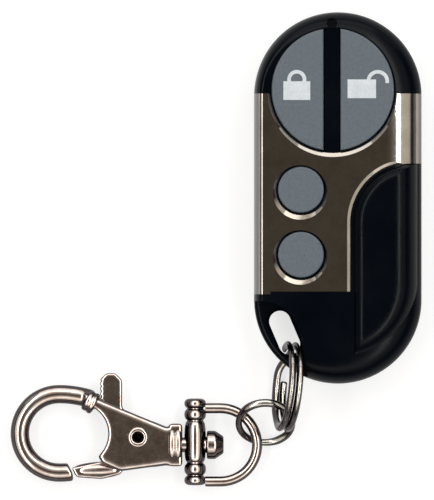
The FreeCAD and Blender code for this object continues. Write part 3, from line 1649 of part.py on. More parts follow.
# Gate lever: thumb piece above, gate below, turning on the rivet
lever_bottom = swivel_height - lever_thickness / 2
lever_top = swivel_height + lever_thickness / 2
lever = new_body("gate_lever_plate")
lever_sketch = polygon_sketch(
    lever,
    "gate_lever_outline",
    lever_bottom,
    [
        (thumb_left_x, thumb_root_y),
        (rivet_x - hub_side, rivet_y + lever_hub_radius / 2),
        (rivet_x - hub_side, rivet_y - lever_hub_radius / 2),
        (opening_x + opening_radius - gate_lap, gate_top_y),
        (gate_wide_x, gate_top_y),
        (hook_x + gate_end_inset, gate_tip_top_y),
        (hook_x + gate_end_inset, gate_tip_bottom_y),
        (gate_wide_x, gate_bottom_y),
        (heel_x, heel_y - gate_heel_drop),
        (rivet_x, rivet_y - lever_hub_radius),
        (rivet_x + lever_hub_radius, rivet_y),
        (thumb_right_x, thumb_root_y - thumb_step),
        (thumb_right_x, thumb_top_y - thumb_corner),
        (thumb_right_x - thumb_corner, thumb_top_y),
        (thumb_left_x + thumb_corner, thumb_top_y),
        (thumb_left_x, thumb_top_y - thumb_corner),
    ],
)
pad(lever, lever_sketch, "gate_lever_pad", lever_thickness)
hub = cylinder("lever_hub", rivet_x, rivet_y, lever_bottom, lever_hub_radius, lever_thickness)
lever_reach = cylinder("lever_reach", rivet_x, rivet_y, -OVERSHOOT, gate_tip_radius, clasp_cut_height)
lever_cuts = [
    cylinder("lever_bore", rivet_x, rivet_y, 0, rivet_radius + fit_clearance, full_height),
    cylinder(
        "spring_recess_cut",
        rivet_x,
        rivet_y,
        lever_top - spring_recess,
        spring_radius + fit_clearance,
        spring_recess,
    ),
]
for index in range(RIB_COUNT):
    rib_y = thumb_top_y - thumb_corner - rib_pitch * index
    lever_cuts.append(
        box(
            f"thumb_groove{index}",
            (thumb_left_x - OVERSHOOT, thumb_left_x + rib_depth),
            (rib_y - rib_pitch / 2, rib_y),
            (0, plate_top + OVERSHOOT),
        )
    )
lever_blank = common("lever_blank", fuse("lever_joined", lever, hub), lever_reach)
node("gate_lever", cut("GateLever", lever_blank, *lever_cuts))

# Gate spring: a flat coil seated in the lever round the rivet
spring_ring = cut(
    "GateSpring",
    cylinder("spring_outer", rivet_x, rivet_y, lever_top - spring_recess, spring_radius, spring_recess),
    cylinder("spring_inner", rivet_x, rivet_y, 0, spring_radius - spring_wire_radius * 2, full_height),
)
node("gate_spring", spring_ring)

doc.recompute()

problems = []
for item in doc.Objects:
    if "Invalid" in item.State or "Error" in item.State:
        problems.append(f"{item.Name}: {item.State}")
for item in NODES:
    shape = item.Shape
    if shape.isNull() or not shape.isValid() or not shape.Solids:
        problems.append(f"{item.Label}: shape is not a valid solid")
if problems:
    raise RuntimeError("; ".join(problems))

os.makedirs("parts", exist_ok=True)
for item in NODES:
    item.Shape.exportStep(f"parts/{item.Label}.step")
    print(f"{item.Label}: {len(item.Shape.Solids)} solids, {item.Shape.Volume:.1f} mm3")
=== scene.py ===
import math

import bpy
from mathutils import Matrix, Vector
from mathutils.bvhtree import BVHTree


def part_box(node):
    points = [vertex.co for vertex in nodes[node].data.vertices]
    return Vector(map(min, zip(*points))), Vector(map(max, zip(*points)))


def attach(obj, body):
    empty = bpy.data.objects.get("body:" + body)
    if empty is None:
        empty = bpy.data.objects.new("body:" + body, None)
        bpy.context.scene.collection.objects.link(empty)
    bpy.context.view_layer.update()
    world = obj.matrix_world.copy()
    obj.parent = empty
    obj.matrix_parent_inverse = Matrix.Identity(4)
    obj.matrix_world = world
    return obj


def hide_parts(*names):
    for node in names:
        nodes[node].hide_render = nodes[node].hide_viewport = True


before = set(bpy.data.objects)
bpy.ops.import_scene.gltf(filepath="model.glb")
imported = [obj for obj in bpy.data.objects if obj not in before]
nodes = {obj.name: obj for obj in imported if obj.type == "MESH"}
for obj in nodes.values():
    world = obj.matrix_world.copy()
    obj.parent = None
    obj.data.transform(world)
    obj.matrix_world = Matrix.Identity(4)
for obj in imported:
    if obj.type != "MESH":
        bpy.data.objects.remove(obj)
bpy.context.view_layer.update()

MM = 0.001

# Camera: the remote is photographed lying on its back, from straight above, with a long lens.
# One pixel of the 434 x 500 picture is 0.1778 mm at the height of the widest outline.
PICTURE_HEIGHT = 500 * 0.1778 * MM
OUTLINE_HEIGHT = 7 * MM
PICTURE_CENTRE = (-21.48 * MM, -9.25 * MM)
camera_data = bpy.data.cameras.new("Camera")
camera_data.lens = 600
camera_data.sensor_width = 36
camera = bpy.data.objects.new("Camera", camera_data)
bpy.context.scene.collection.objects.link(camera)
camera_distance = PICTURE_HEIGHT * camera_data.lens / camera_data.sensor_width
camera.location = (*PICTURE_CENTRE, OUTLINE_HEIGHT + camera_distance)
camera_data.clip_start = 0.1
camera_data.clip_end = 10
bpy.context.scene.camera = camera
bpy.context.scene.view_settings.view_transform = "Standard"

# Studio light: a tent with a dark brown top, a pale band round its middle and a dark band under it,
# and narrow soft boxes left, right, in front and behind. Flat bright metal mirrors the dark top,
# and rolled edges mirror the pale band and the boxes.
world = bpy.data.worlds.new("Studio")
world.use_nodes = True
bpy.context.scene.world = world
tree = world.node_tree
tree.nodes.clear()
direction = tree.nodes.new("ShaderNodeTexCoord")
split = tree.nodes.new("ShaderNodeSeparateXYZ")
ramp = tree.nodes.new("ShaderNodeValToRGB")
sky = tree.nodes.new("ShaderNodeBackground")
world_out = tree.nodes.new("ShaderNodeOutputWorld")
tree.links.new(direction.outputs["Generated"], split.inputs["Vector"])
tree.links.new(split.outputs["Z"], ramp.inputs["Fac"])
tree.links.new(ramp.outputs["Color"], sky.inputs["Color"])
tree.links.new(sky.outputs["Background"], world_out.inputs["Surface"])
# Each colour stands at the sine of its height over the horizon.
TENT_COLOURS = [
    (0.00, (0.30, 0.30, 0.31)),
    (0.10, (0.22, 0.22, 0.23)),
    (0.22, (0.15, 0.15, 0.16)),
    (0.28, (0.035, 0.035, 0.045)),
    (0.43, (0.035, 0.035, 0.045)),
    (0.54, (0.64, 0.61, 0.56)),
    (0.86, (0.72, 0.70, 0.65)),
    (0.94, (0.33, 0.32, 0.34)),
    (0.985, (0.145, 0.128, 0.11)),
    (0.997, (0.077, 0.066, 0.054)),
]
ramp.color_ramp.elements.remove(ramp.color_ramp.elements[1])
ramp.color_ramp.elements[0].position = TENT_COLOURS[0][0]
ramp.color_ramp.elements[0].color = (*TENT_COLOURS[0][1], 1)
for place, colour in TENT_COLOURS[1:]:
    element = ramp.color_ramp.elements.new(place)
    element.color = (*colour, 1)
AIM = Vector((-0.020, -0.010, 0.005))
# Each box has its place, its width and height, and its power in watts.
SOFT_BOXES = {
    "BackBox": ((-0.02, 0.40, 0.44), (0.70, 0.24), 0.70),
    "BackLow": ((-0.02, 0.58, 0.225), (0.72, 0.25), 0.50),
    "BackWide": ((-0.02, 0.60, 0.225), (1.60, 0.22), 0.55),
    "FrontBox": ((-0.02, -0.38, 0.46), (0.70, 0.15), 0.15),
    "LeftStrip": ((-0.31, 0.00, 0.51), (0.70, 0.09), 0.85),
    "RightStrip": ((0.257, 0.00, 0.51), (0.70, 0.10), 0.85),
}
for name, (place, size, watts) in SOFT_BOXES.items():
    lamp = bpy.data.lights.new(name, "AREA")
    lamp.shape = "RECTANGLE"
    lamp.size, lamp.size_y = size
    lamp.energy = watts
    soft_box = bpy.data.objects.new(name, lamp)
    bpy.context.scene.collection.objects.link(soft_box)
    soft_box.location = place
    soft_box.visible_camera = False
    soft_box.rotation_euler = (AIM - Vector(place)).to_track_quat("-Z", "Y").to_euler()

# Table: a plain white sheet that keeps a faint shadow of the remote. It glows for the camera, so
# that the background is white, and less in mirrors. Seen from underneath it is clear.
TABLE_DEPTH = 0.1 * MM
PAPER_GREY = 0.42
GLOW_LEVEL = 0.70
MIRRORED_SHARE = 0.45
bpy.ops.object.select_all(action="DESELECT")
bpy.ops.mesh.primitive_plane_add(size=6, location=(0, 0, -TABLE_DEPTH))
table = bpy.context.object
table.name = "Table"
sheet = bpy.data.materials.new("WhiteTable")
sheet.use_nodes = True
tree = sheet.node_tree
tree.nodes.clear()
paper = tree.nodes.new("ShaderNodeBsdfDiffuse")
paper.inputs["Color"].default_value = (PAPER_GREY, PAPER_GREY, PAPER_GREY, 1)
glow = tree.nodes.new("ShaderNodeEmission")
rays = tree.nodes.new("ShaderNodeLightPath")
seen = tree.nodes.new("ShaderNodeMath")
seen.operation = "MAXIMUM"
seen_clear = tree.nodes.new("ShaderNodeMath")
seen_clear.operation = "MAXIMUM"
mirrored = tree.nodes.new("ShaderNodeMath")
mirrored.operation = "MULTIPLY"
mirrored.inputs[1].default_value = MIRRORED_SHARE
glow_level = tree.nodes.new("ShaderNodeMath")
glow_level.operation = "MULTIPLY"
glow_level.inputs[1].default_value = GLOW_LEVEL
both = tree.nodes.new("ShaderNodeAddShader")
facing = tree.nodes.new("ShaderNodeNewGeometry")
clear = tree.nodes.new("ShaderNodeBsdfTransparent")
side = tree.nodes.new("ShaderNodeMixShader")
sheet_out = tree.nodes.new("ShaderNodeOutputMaterial")
tree.links.new(rays.outputs["Is Camera Ray"], seen.inputs[0])
tree.links.new(rays.outputs["Is Glossy Ray"], mirrored.inputs[0])
tree.links.new(mirrored.outputs[0], seen.inputs[1])
tree.links.new(seen.outputs[0], seen_clear.inputs[0])
tree.links.new(rays.outputs["Is Transmission Ray"], seen_clear.inputs[1])
tree.links.new(seen_clear.outputs[0], glow_level.inputs[0])
tree.links.new(glow_level.outputs[0], glow.inputs["Strength"])
tree.links.new(paper.outputs[0], both.inputs[0])
tree.links.new(glow.outputs[0], both.inputs[1])
tree.links.new(facing.outputs["Backfacing"], side.inputs["Fac"])
tree.links.new(both.outputs[0], side.inputs[1])
tree.links.new(clear.outputs[0], side.inputs[2])
tree.links.new(side.outputs[0], sheet_out.inputs["Surface"])
table.data.materials.append(sheet)


# Back cover and front cover: two black ABS shells, moulded with a fine satin grain that shows as
# a faint speckle in the highlights. Handling has polished them unevenly.
MIX_FIRST, MIX_SECOND, MIX_RESULT = 6, 7, 2


def start_group(name, inputs):
    """An empty shader group with its named inputs, which gives colour, roughness and height."""
    group = bpy.data.node_groups.new(name, "ShaderNodeTree")
    for label, kind, value in inputs:
        socket = group.interface.new_socket(label, in_out="INPUT", socket_type=kind)
        socket.default_value = value
    group.interface.new_socket("Color", in_out="OUTPUT", socket_type="NodeSocketColor")
    group.interface.new_socket("Roughness", in_out="OUTPUT", socket_type="NodeSocketFloat")
    group.interface.new_socket("Height", in_out="OUTPUT", socket_type="NodeSocketFloat")
    return group, group.nodes.new("NodeGroupInput"), group.nodes.new("NodeGroupOutput")


def add_node(tree, kind, settings=None, **values):
    """A node with its settings and the values of its inputs."""
    made = tree.nodes.new("ShaderNode" + kind)
    for key, value in (settings or {}).items():
        setattr(made, key, value)
    for key, value in values.items():
        label = key.replace("_", " ")
        made.inputs[int(key[3:]) if key.startswith("at_") else label].default_value = value
    return made


def new_finish(name, group, depth, settings, **values):
    """A material that takes colour, roughness and relief from a group. The settings are the
    shader's own, and the values are the group's."""
    finish = bpy.data.materials.new(name)
    finish.use_nodes = True
    tree = finish.node_tree
    shader = tree.nodes["Principled BSDF"]
    for label, value in settings.items():
        shader.inputs[label].default_value = value
    made = tree.nodes.new("ShaderNodeGroup")
    made.node_tree = group
    for key, value in values.items():
        made.inputs[key.replace("_", " ")].default_value = value
    relief = add_node(tree, "Bump", Strength=1.0, Distance=depth)
    tree.links.new(made.outputs["Color"], shader.inputs["Base Color"])
    tree.links.new(made.outputs["Roughness"], shader.inputs["Roughness"])
    tree.links.new(made.outputs["Height"], relief.inputs["Height"])
    tree.links.new(relief.outputs["Normal"], shader.inputs["Normal"])
    return finish


def coat(finish, slot, *names):
    """Give a finish to pieces of the frame."""
    for name in names:
        nodes[name].data.materials.clear()
        nodes[name].data.materials.append(finish)
        for face in nodes[name].data.polygons:
            face.material_index = 0


GRAIN, grain_in, grain_out = start_group(
    "MouldedGrain",
    [
        ("Dark", "NodeSocketColor", (0.01, 0.01, 0.01, 1)),
        ("Light", "NodeSocketColor", (0.02, 0.02, 0.02, 1)),
        ("Grain Scale", "NodeSocketFloat", 4000.0),
        ("Patch Scale", "NodeSocketFloat", 120.0),
        ("Spread", "NodeSocketFloat", 0.5),
        ("Smooth", "NodeSocketFloat", 0.3),
        ("Rough", "NodeSocketFloat", 0.45),
    ],
)
place = add_node(GRAIN, "TexCoord")
pits = add_node(GRAIN, "TexNoise", Detail=3.0, Roughness=0.6)
patches = add_node(GRAIN, "TexNoise", Detail=4.0, Roughness=0.55)
shade = add_node(GRAIN, "Math", {"operation": "ADD", "use_clamp": True})
half = add_node(GRAIN, "Math", {"operation": "MULTIPLY_ADD"}, at_1=0.5, at_2=0.0)
patch_half = add_node(GRAIN, "Math", {"operation": "MULTIPLY_ADD"}, at_1=0.5, at_2=0.0)
low = add_node(GRAIN, "Math", {"operation": "SUBTRACT"}, at_0=0.5)
high = add_node(GRAIN, "Math", {"operation": "ADD"}, at_0=0.5)
contrast = add_node(GRAIN, "MapRange")
tint = add_node(GRAIN, "Mix", {"data_type": "RGBA"})
dull = add_node(GRAIN, "MapRange", From_Min=0.35, From_Max=0.65)
GRAIN.links.new(place.outputs["Object"], pits.inputs["Vector"])
GRAIN.links.new(place.outputs["Object"], patches.inputs["Vector"])
GRAIN.links.new(grain_in.outputs["Grain Scale"], pits.inputs["Scale"])
GRAIN.links.new(grain_in.outputs["Patch Scale"], patches.inputs["Scale"])
GRAIN.links.new(pits.outputs["Fac"], half.inputs[0])
GRAIN.links.new(patches.outputs["Fac"], patch_half.inputs[0])
GRAIN.links.new(half.outputs[0], shade.inputs[0])
GRAIN.links.new(patch_half.outputs[0], shade.inputs[1])
GRAIN.links.new(grain_in.outputs["Spread"], low.inputs[1])
GRAIN.links.new(grain_in.outputs["Spread"], high.inputs[1])
GRAIN.links.new(shade.outputs[0], contrast.inputs["Value"])
GRAIN.links.new(low.outputs[0], contrast.inputs["From Min"])
GRAIN.links.new(high.outputs[0], contrast.inputs["From Max"])
GRAIN.links.new(contrast.outputs["Result"], tint.inputs["Factor"])
GRAIN.links.new(grain_in.outputs["Dark"], tint.inputs[MIX_FIRST])
GRAIN.links.new(grain_in.outputs["Light"], tint.inputs[MIX_SECOND])
GRAIN.links.new(patches.outputs["Fac"], dull.inputs["Value"])
GRAIN.links.new(grain_in.outputs["Smooth"], dull.inputs["To Min"])
GRAIN.links.new(grain_in.outputs["Rough"], dull.inputs["To Max"])
GRAIN.links.new(tint.outputs[MIX_RESULT], grain_out.inputs["Color"])
GRAIN.links.new(dull.outputs["Result"], grain_out.inputs["Roughness"])
GRAIN.links.new(pits.outputs["Fac"], grain_out.inputs["Height"])


black_shell = new_finish(
    "BlackShell", GRAIN, 0.004 * MM, {"Specular IOR Level": 0.12},
    Dark=(0.0003, 0.0012, 0.003, 1), Light=(0.0014, 0.003, 0.006, 1),
    Grain_Scale=3500.0, Patch_Scale=90.0, Spread=0.2, Smooth=0.17, Rough=0.25,
)
coat(black_shell, "black_shell", "back_cover", "front_cover")

# Trim: one sheet of stainless steel, pressed round the left side and the right shoulder, polished
# bright. Its flat face has a faint warm mottle; the rolled edges are the brightest part, and its
# steep sides are painted darker: painted shade.
PLATING, plating_in, plating_out = start_group(
    "PolishedPlating",
    [
        ("Bright", "NodeSocketColor", (0.8, 0.78, 0.74, 1)),
        ("Tarnish", "NodeSocketColor", (0.5, 0.42, 0.34, 1)),
        ("Mottle Scale", "NodeSocketFloat", 300.0),
        ("Tarnish Amount", "NodeSocketFloat", 0.5),
        ("Wall", "NodeSocketColor", (0.3, 0.3, 0.3, 1)),
        ("Wall Start", "NodeSocketFloat", 0.01),
        ("Wall End", "NodeSocketFloat", 0.0),
        ("Smooth", "NodeSocketFloat", 0.08),
        ("Rough", "NodeSocketFloat", 0.2),
    ],
)
place = add_node(PLATING, "TexCoord")
clouds = add_node(PLATING, "TexNoise", Detail=5.0, Roughness=0.6)
fine_scale = add_node(PLATING, "Math", {"operation": "MULTIPLY"}, at_1=6.0)
fine = add_node(PLATING, "TexNoise", Detail=2.0, Roughness=0.5)
spread = add_node(PLATING, "MapRange", From_Min=0.35, From_Max=0.7)
amount = add_node(PLATING, "Math", {"operation": "MULTIPLY", "use_clamp": True})
tint = add_node(PLATING, "Mix", {"data_type": "RGBA"})
dull = add_node(PLATING, "MapRange", From_Min=0.3, From_Max=0.7)
# Painted shade: the upright sides, picked by the slope of their normal, are mixed towards the dark
# wall colour, which paints in dark reflections along them
facing = add_node(PLATING, "NewGeometry")
upright = add_node(PLATING, "SeparateXYZ")
level = add_node(PLATING, "Math", {"operation": "ABSOLUTE"})
painted_shade_mask = add_node(PLATING, "MapRange")
painted_shade_mix = add_node(PLATING, "Mix", {"data_type": "RGBA"})
PLATING.links.new(facing.outputs["Normal"], upright.inputs["Vector"])
PLATING.links.new(upright.outputs["Z"], level.inputs[0])
PLATING.links.new(level.outputs[0], painted_shade_mask.inputs["Value"])
PLATING.links.new(plating_in.outputs["Wall Start"], painted_shade_mask.inputs["From Min"])
PLATING.links.new(plating_in.outputs["Wall End"], painted_shade_mask.inputs["From Max"])
PLATING.links.new(painted_shade_mask.outputs["Result"], painted_shade_mix.inputs["Factor"])
PLATING.links.new(tint.outputs[MIX_RESULT], painted_shade_mix.inputs[MIX_FIRST])
PLATING.links.new(plating_in.outputs["Wall"], painted_shade_mix.inputs[MIX_SECOND])
PLATING.links.new(place.outputs["Object"], clouds.inputs["Vector"])
PLATING.links.new(place.outputs["Object"], fine.inputs["Vector"])
PLATING.links.new(plating_in.outputs["Mottle Scale"], clouds.inputs["Scale"])
PLATING.links.new(plating_in.outputs["Mottle Scale"], fine_scale.inputs[0])
PLATING.links.new(fine_scale.outputs[0], fine.inputs["Scale"])
PLATING.links.new(clouds.outputs["Fac"], spread.inputs["Value"])
PLATING.links.new(spread.outputs["Result"], amount.inputs[0])
PLATING.links.new(plating_in.outputs["Tarnish Amount"], amount.inputs[1])
PLATING.links.new(amount.outputs[0], tint.inputs["Factor"])
PLATING.links.new(plating_in.outputs["Bright"], tint.inputs[MIX_FIRST])
PLATING.links.new(plating_in.outputs["Tarnish"], tint.inputs[MIX_SECOND])
PLATING.links.new(fine.outputs["Fac"], dull.inputs["Value"])
PLATING.links.new(plating_in.outputs["Smooth"], dull.inputs["To Min"])
PLATING.links.new(plating_in.outputs["Rough"], dull.inputs["To Max"])
PLATING.links.new(painted_shade_mix.outputs[MIX_RESULT], plating_out.inputs["Color"])
PLATING.links.new(dull.outputs["Result"], plating_out.inputs["Roughness"])
PLATING.links.new(fine.outputs["Fac"], plating_out.inputs["Height"])

trim_steel = new_finish(
    "TrimSteel", PLATING, 0.0015 * MM, {"Metallic": 1.0},
    Bright=(0.61, 0.56, 0.49, 1), Tarnish=(0.42, 0.36, 0.30, 1),
    # Painted shade: this dark colour and its two limits darken the trim's steep sides.
    Wall=(0.25, 0.24, 0.24, 1), Wall_Start=0.72, Wall_End=0.50,
    Mottle_Scale=260.0, Tarnish_Amount=0.6, Smooth=0.05, Rough=0.11,
)
coat(trim_steel, "trim_metal", "chrome_trim")

# Keys: two half-round and two round caps of grey rubber-coated plastic with a fine speckle.
# They are dull all over, and a little bluer than a neutral grey.
key_grey = new_finish(
    "KeyGrey", GRAIN, 0.006 * MM, {},
    Dark=(0.082, 0.100, 0.118, 1), Light=(0.140, 0.172, 0.204, 1),
    Grain_Scale=2400.0, Patch_Scale=1900.0, Spread=0.32, Smooth=0.42, Rough=0.58,
)
coat(
    key_grey, "button_rubber",
    "lock_button", "unlock_button", "upper_round_button", "lower_round_button",
)

# Padlock prints: white pad-printed ink on the two half-round keys, thin at the edges.
# The ink is a little uneven, as one pass of a soft pad leaves it.
white_ink = new_finish(
    "WhiteInk", GRAIN, 0.003 * MM, {},
    Dark=(0.58, 0.63, 0.67, 1), Light=(0.72, 0.76, 0.79, 1),
    Grain_Scale=2200.0, Patch_Scale=500.0, Spread=0.15, Smooth=0.45, Rough=0.6,
)
coat(white_ink, "white_print", "lock_symbol", "unlock_symbol")

# Indicator: a smoked lens at the head of the divider bar, over a small surface-mount diode.
# Unlit, it shows as a dark round spot.
smoked_lens = new_finish(
    "SmokedLens", GRAIN, 0.001 * MM, {"Specular IOR Level": 0.03},
    Dark=(0.0004, 0.0004, 0.001, 1), Light=(0.0012, 0.0008, 0.002, 1),
    Grain_Scale=900.0, Patch_Scale=400.0, Smooth=0.08, Rough=0.16,
)
coat(smoked_lens, "lens_plastic", "led_lens")
diode = new_finish(
    "DiodeBody", GRAIN, 0.002 * MM, {},
    Dark=(0.62, 0.60, 0.52, 1), Light=(0.75, 0.73, 0.65, 1),
    Grain_Scale=3000.0, Patch_Scale=900.0, Smooth=0.3, Rough=0.45,
)
coat(diode, "led_body", "indicator_led")

# Circuit board and what is soldered to it: green glass laminate, black moulded components, a
# tinned resonator can, copper antenna track, and a soft seal over the switches.
laminate = new_finish(
    "GreenLaminate", GRAIN, 0.004 * MM, {},
    Dark=(0.010, 0.085, 0.035, 1), Light=(0.022, 0.150, 0.065, 1),
    Grain_Scale=2500.0, Patch_Scale=300.0, Smooth=0.25, Rough=0.4,
)
coat(laminate, "board_laminate", "circuit_board")
moulding = new_finish(
    "BlackMoulding", GRAIN, 0.005 * MM, {},
    Dark=(0.012, 0.012, 0.013, 1), Light=(0.030, 0.030, 0.032, 1),
    Grain_Scale=5000.0, Patch_Scale=700.0, Smooth=0.45, Rough=0.65,
)
coat(
    moulding, "black_component", "encoder_chip", "rf_transistor", "chip_resistors",
    "lock_switch", "unlock_switch", "upper_switch", "lower_switch",
)
plunger = new_finish(
    "SwitchPlunger", GRAIN, 0.003 * MM, {},
    Dark=(0.35, 0.33, 0.28, 1), Light=(0.48, 0.46, 0.40, 1),
    Grain_Scale=3500.0, Patch_Scale=600.0, Smooth=0.35, Rough=0.5,
)
coat(
    plunger, "switch_stem", "lock_switch_stem", "unlock_switch_stem",
    "upper_switch_stem", "lower_switch_stem",
)
seal_rubber = new_finish(
    "SealRubber", GRAIN, 0.006 * MM, {},
    Dark=(0.040, 0.042, 0.045, 1), Light=(0.075, 0.078, 0.082, 1),
    Grain_Scale=2800.0, Patch_Scale=200.0, Smooth=0.6, Rough=0.8,
)
coat(seal_rubber, "seal_rubber", "dust_seal")
tinned = new_finish(
    "TinnedCan", PLATING, 0.002 * MM, {"Metallic": 1.0},
    Bright=(0.75, 0.76, 0.77, 1), Tarnish=(0.55, 0.55, 0.54, 1),
    Mottle_Scale=900.0, Tarnish_Amount=0.5, Smooth=0.2, Rough=0.4,
)
coat(tinned, "metal_can", "saw_resonator")
copper = new_finish(
    "CopperTrack", PLATING, 0.002 * MM, {"Metallic": 1.0},
    Bright=(0.86, 0.48, 0.30, 1), Tarnish=(0.45, 0.22, 0.13, 1),
    Mottle_Scale=1200.0, Tarnish_Amount=0.5, Smooth=0.25, Rough=0.45,
)
coat(copper, "copper_track", "antenna_track")

# Battery and contacts: a small 12 V cell in a printed steel can between two strips of nickelled
# spring steel. The can has no print here.
cell_can = new_finish(
    "CellCan", PLATING, 0.002 * MM, {"Metallic": 1.0},
    Bright=(0.70, 0.62, 0.40, 1), Tarnish=(0.48, 0.40, 0.24, 1),
    Mottle_Scale=500.0, Tarnish_Amount=0.4, Smooth=0.22, Rough=0.35,
)
coat(cell_can, "battery_can", "battery")
contact_strip = new_finish(
    "ContactStrip", PLATING, 0.002 * MM, {"Metallic": 1.0},
    Bright=(0.74, 0.72, 0.68, 1), Tarnish=(0.52, 0.50, 0.46, 1),
    Mottle_Scale=700.0, Tarnish_Amount=0.5, Smooth=0.18, Rough=0.35,
)
coat(contact_strip, "contact_metal", "battery_contact_positive", "battery_contact_negative")

# Cover screws: two small cross-head screws of zinc-plated steel, sunk in the back cover.
screw_zinc = new_finish(
    "ScrewZinc", PLATING, 0.003 * MM, {"Metallic": 1.0},
    Bright=(0.62, 0.62, 0.62, 1), Tarnish=(0.36, 0.35, 0.33, 1),
    Mottle_Scale=800.0, Tarnish_Amount=0.7, Smooth=0.25, Rough=0.45,
)
coat(screw_zinc, "screw_steel", "cover_screws")

# Rings: a two-turn split ring of flat spring wire and a plain closed jump ring, both nickel
# plated over steel and bright, with dark tarnish in patches. Their upright sides are painted
# near-black: painted shade.
ring_nickel = new_finish(
    "RingNickel", PLATING, 0.002 * MM, {"Metallic": 1.0},
    Bright=(0.92, 0.88, 0.80, 1), Tarnish=(0.22, 0.16, 0.14, 1),
    # Painted shade: this near-black colour darkens the upright sides of the wire.
    Wall=(0.09, 0.075, 0.078, 1), Wall_Start=0.90, Wall_End=0.66,
    Mottle_Scale=230.0, Tarnish_Amount=1.0, Smooth=0.06, Rough=0.14,
)


def skin_copy(name, source, cell, cut=None):
    """A copy of a frame piece under an even skin of cells. Where cut is given, only what lies
    beyond it along x is kept."""
    bpy.ops.object.select_all(action="DESELECT")
    form = bpy.data.objects.new(name, nodes[source].data.copy())
    bpy.context.scene.collection.objects.link(form)
    form.select_set(True)
    bpy.context.view_layer.objects.active = form
    bpy.ops.mesh.customdata_custom_splitnormals_clear()
    bpy.ops.object.mode_set(mode="EDIT")
    bpy.ops.mesh.select_all(action="SELECT")
    bpy.ops.mesh.remove_doubles(threshold=WELD_REACH)
    if cut is not None:
        bpy.ops.mesh.select_all(action="SELECT")
        bpy.ops.mesh.bisect(
            plane_co=(cut, 0, 0), plane_no=(1, 0, 0), use_fill=True, clear_inner=True,
        )
    bpy.ops.object.mode_set(mode="OBJECT")
    skin = form.modifiers.new("Skin", "REMESH")
    skin.mode = "VOXEL"
    skin.voxel_size = cell
    bpy.ops.object.modifier_apply(modifier=skin.name)
    return form


def wear_round(form, passes):
    """Smooth a form, as tumbling and handling round its edges."""
    worn = form.modifiers.new("Worn", "SMOOTH")
    worn.factor = 0.5
    worn.iterations = passes
    bpy.ops.object.modifier_apply(modifier=worn.name)
    bpy.ops.object.shade_smooth()


def hand_over(form, finish, source, body):
    """Give a form its finish and put it in the place of a frame piece."""
    form.data.materials.clear()
    form.data.materials.append(finish)
    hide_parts(source)
    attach(form, body)


def plate_ring(name, source, body, neighbours, coat_depth):
    """A ring of the frame with its edges rounded and its wire a coat of plating thicker, apart
    from where it runs through its neighbours, which wear it thin."""
    ring = skin_copy(name, source, RING_CELL)
    surfaces = []
    for neighbour in neighbours:
        mesh = nodes[neighbour].data
        surfaces.append(BVHTree.FromPolygons(
            [vertex.co for vertex in mesh.vertices],
            [list(polygon.vertices) for polygon in mesh.polygons],
        ))
    coat_group = ring.vertex_groups.new(name="Coat")
    for vertex in ring.data.vertices:
        clear = min(surface.find_nearest(vertex.co)[3] for surface in surfaces)
        share = (clear - WORN_REACH) / (COATED_REACH - WORN_REACH)
        coat_group.add([vertex.index], min(1.0, max(0.0, share)), "REPLACE")
    for title, depth, group in (("Plating", coat_depth, "Coat"), ("Wear", -WEAR_DEPTH, "")):
        layer = ring.modifiers.new(title, "DISPLACE")
        layer.strength = depth
        layer.mid_level = 0.0
        layer.vertex_group = group
        bpy.ops.object.modifier_apply(modifier=layer.name)
    wear_round(ring, RING_PASSES)
    hand_over(ring, ring_nickel, source, body)


WELD_REACH = 0.0005 * MM
RING_CELL = 0.09 * MM
WORN_REACH = 1.2 * MM
COATED_REACH = 3.2 * MM
WEAR_DEPTH = 0.03 * MM
RING_PASSES = 12
plate_ring("SplitRing", "split_ring", "key_split_ring", ("front_cover", "jump_ring"), 0.20 * MM)
plate_ring("JumpRing", "jump_ring", "link_ring", ("split_ring", "swivel_loop"), 0.14 * MM)

# Clasp, post, loop, rivet and gate: zinc castings, tumbled until every edge is round, then nickel
# plated. The plating is bright on the rounded edges and brown with tarnish in patches; its upright
# sides are painted near-black: painted shade.
clasp_nickel = new_finish(
    "ClaspNickel", PLATING, 0.003 * MM, {"Metallic": 1.0},
    Bright=(0.98, 0.86, 0.78, 1), Tarnish=(0.58, 0.42, 0.35, 1),
    # Painted shade: this near-black colour darkens the upright sides of the castings.
    Wall=(0.09, 0.075, 0.08, 1), Wall_Start=0.90, Wall_End=0.66,
    Mottle_Scale=380.0, Tarnish_Amount=0.8, Smooth=0.06, Rough=0.15,
)


def tumble(name, source, body, cell, passes, cut=None):
    """A casting with the frame piece's form and its edges worn round by tumbling."""
    casting = skin_copy(name, source, cell, cut)
    wear_round(casting, passes)
    hand_over(casting, clasp_nickel, source, body)


tumble("ClaspCasting", "clasp_body", "clasp", 0.11 * MM, 130)
tumble("GateCasting", "gate_lever", "gate", 0.09 * MM, 120)
# The bow starts behind its square bar, in whose place the beaded bar comes.
BAR_THICKNESS = 3.77 * MM
bar_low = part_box("swivel_loop")[0]
tumble("SwivelBow", "swivel_loop", "loop", 0.09 * MM, 24, bar_low[0] + BAR_THICKNESS)
tumble("PostHead", "swivel_post", "clasp", 0.08 * MM, 60)

# Swivel bar: the beaded bar of the swivel loop, of the same casting as its bow. It has two rolls
# at each end, and between them a long plain boss, through which the post passes.
BEAD_SIDES = 32


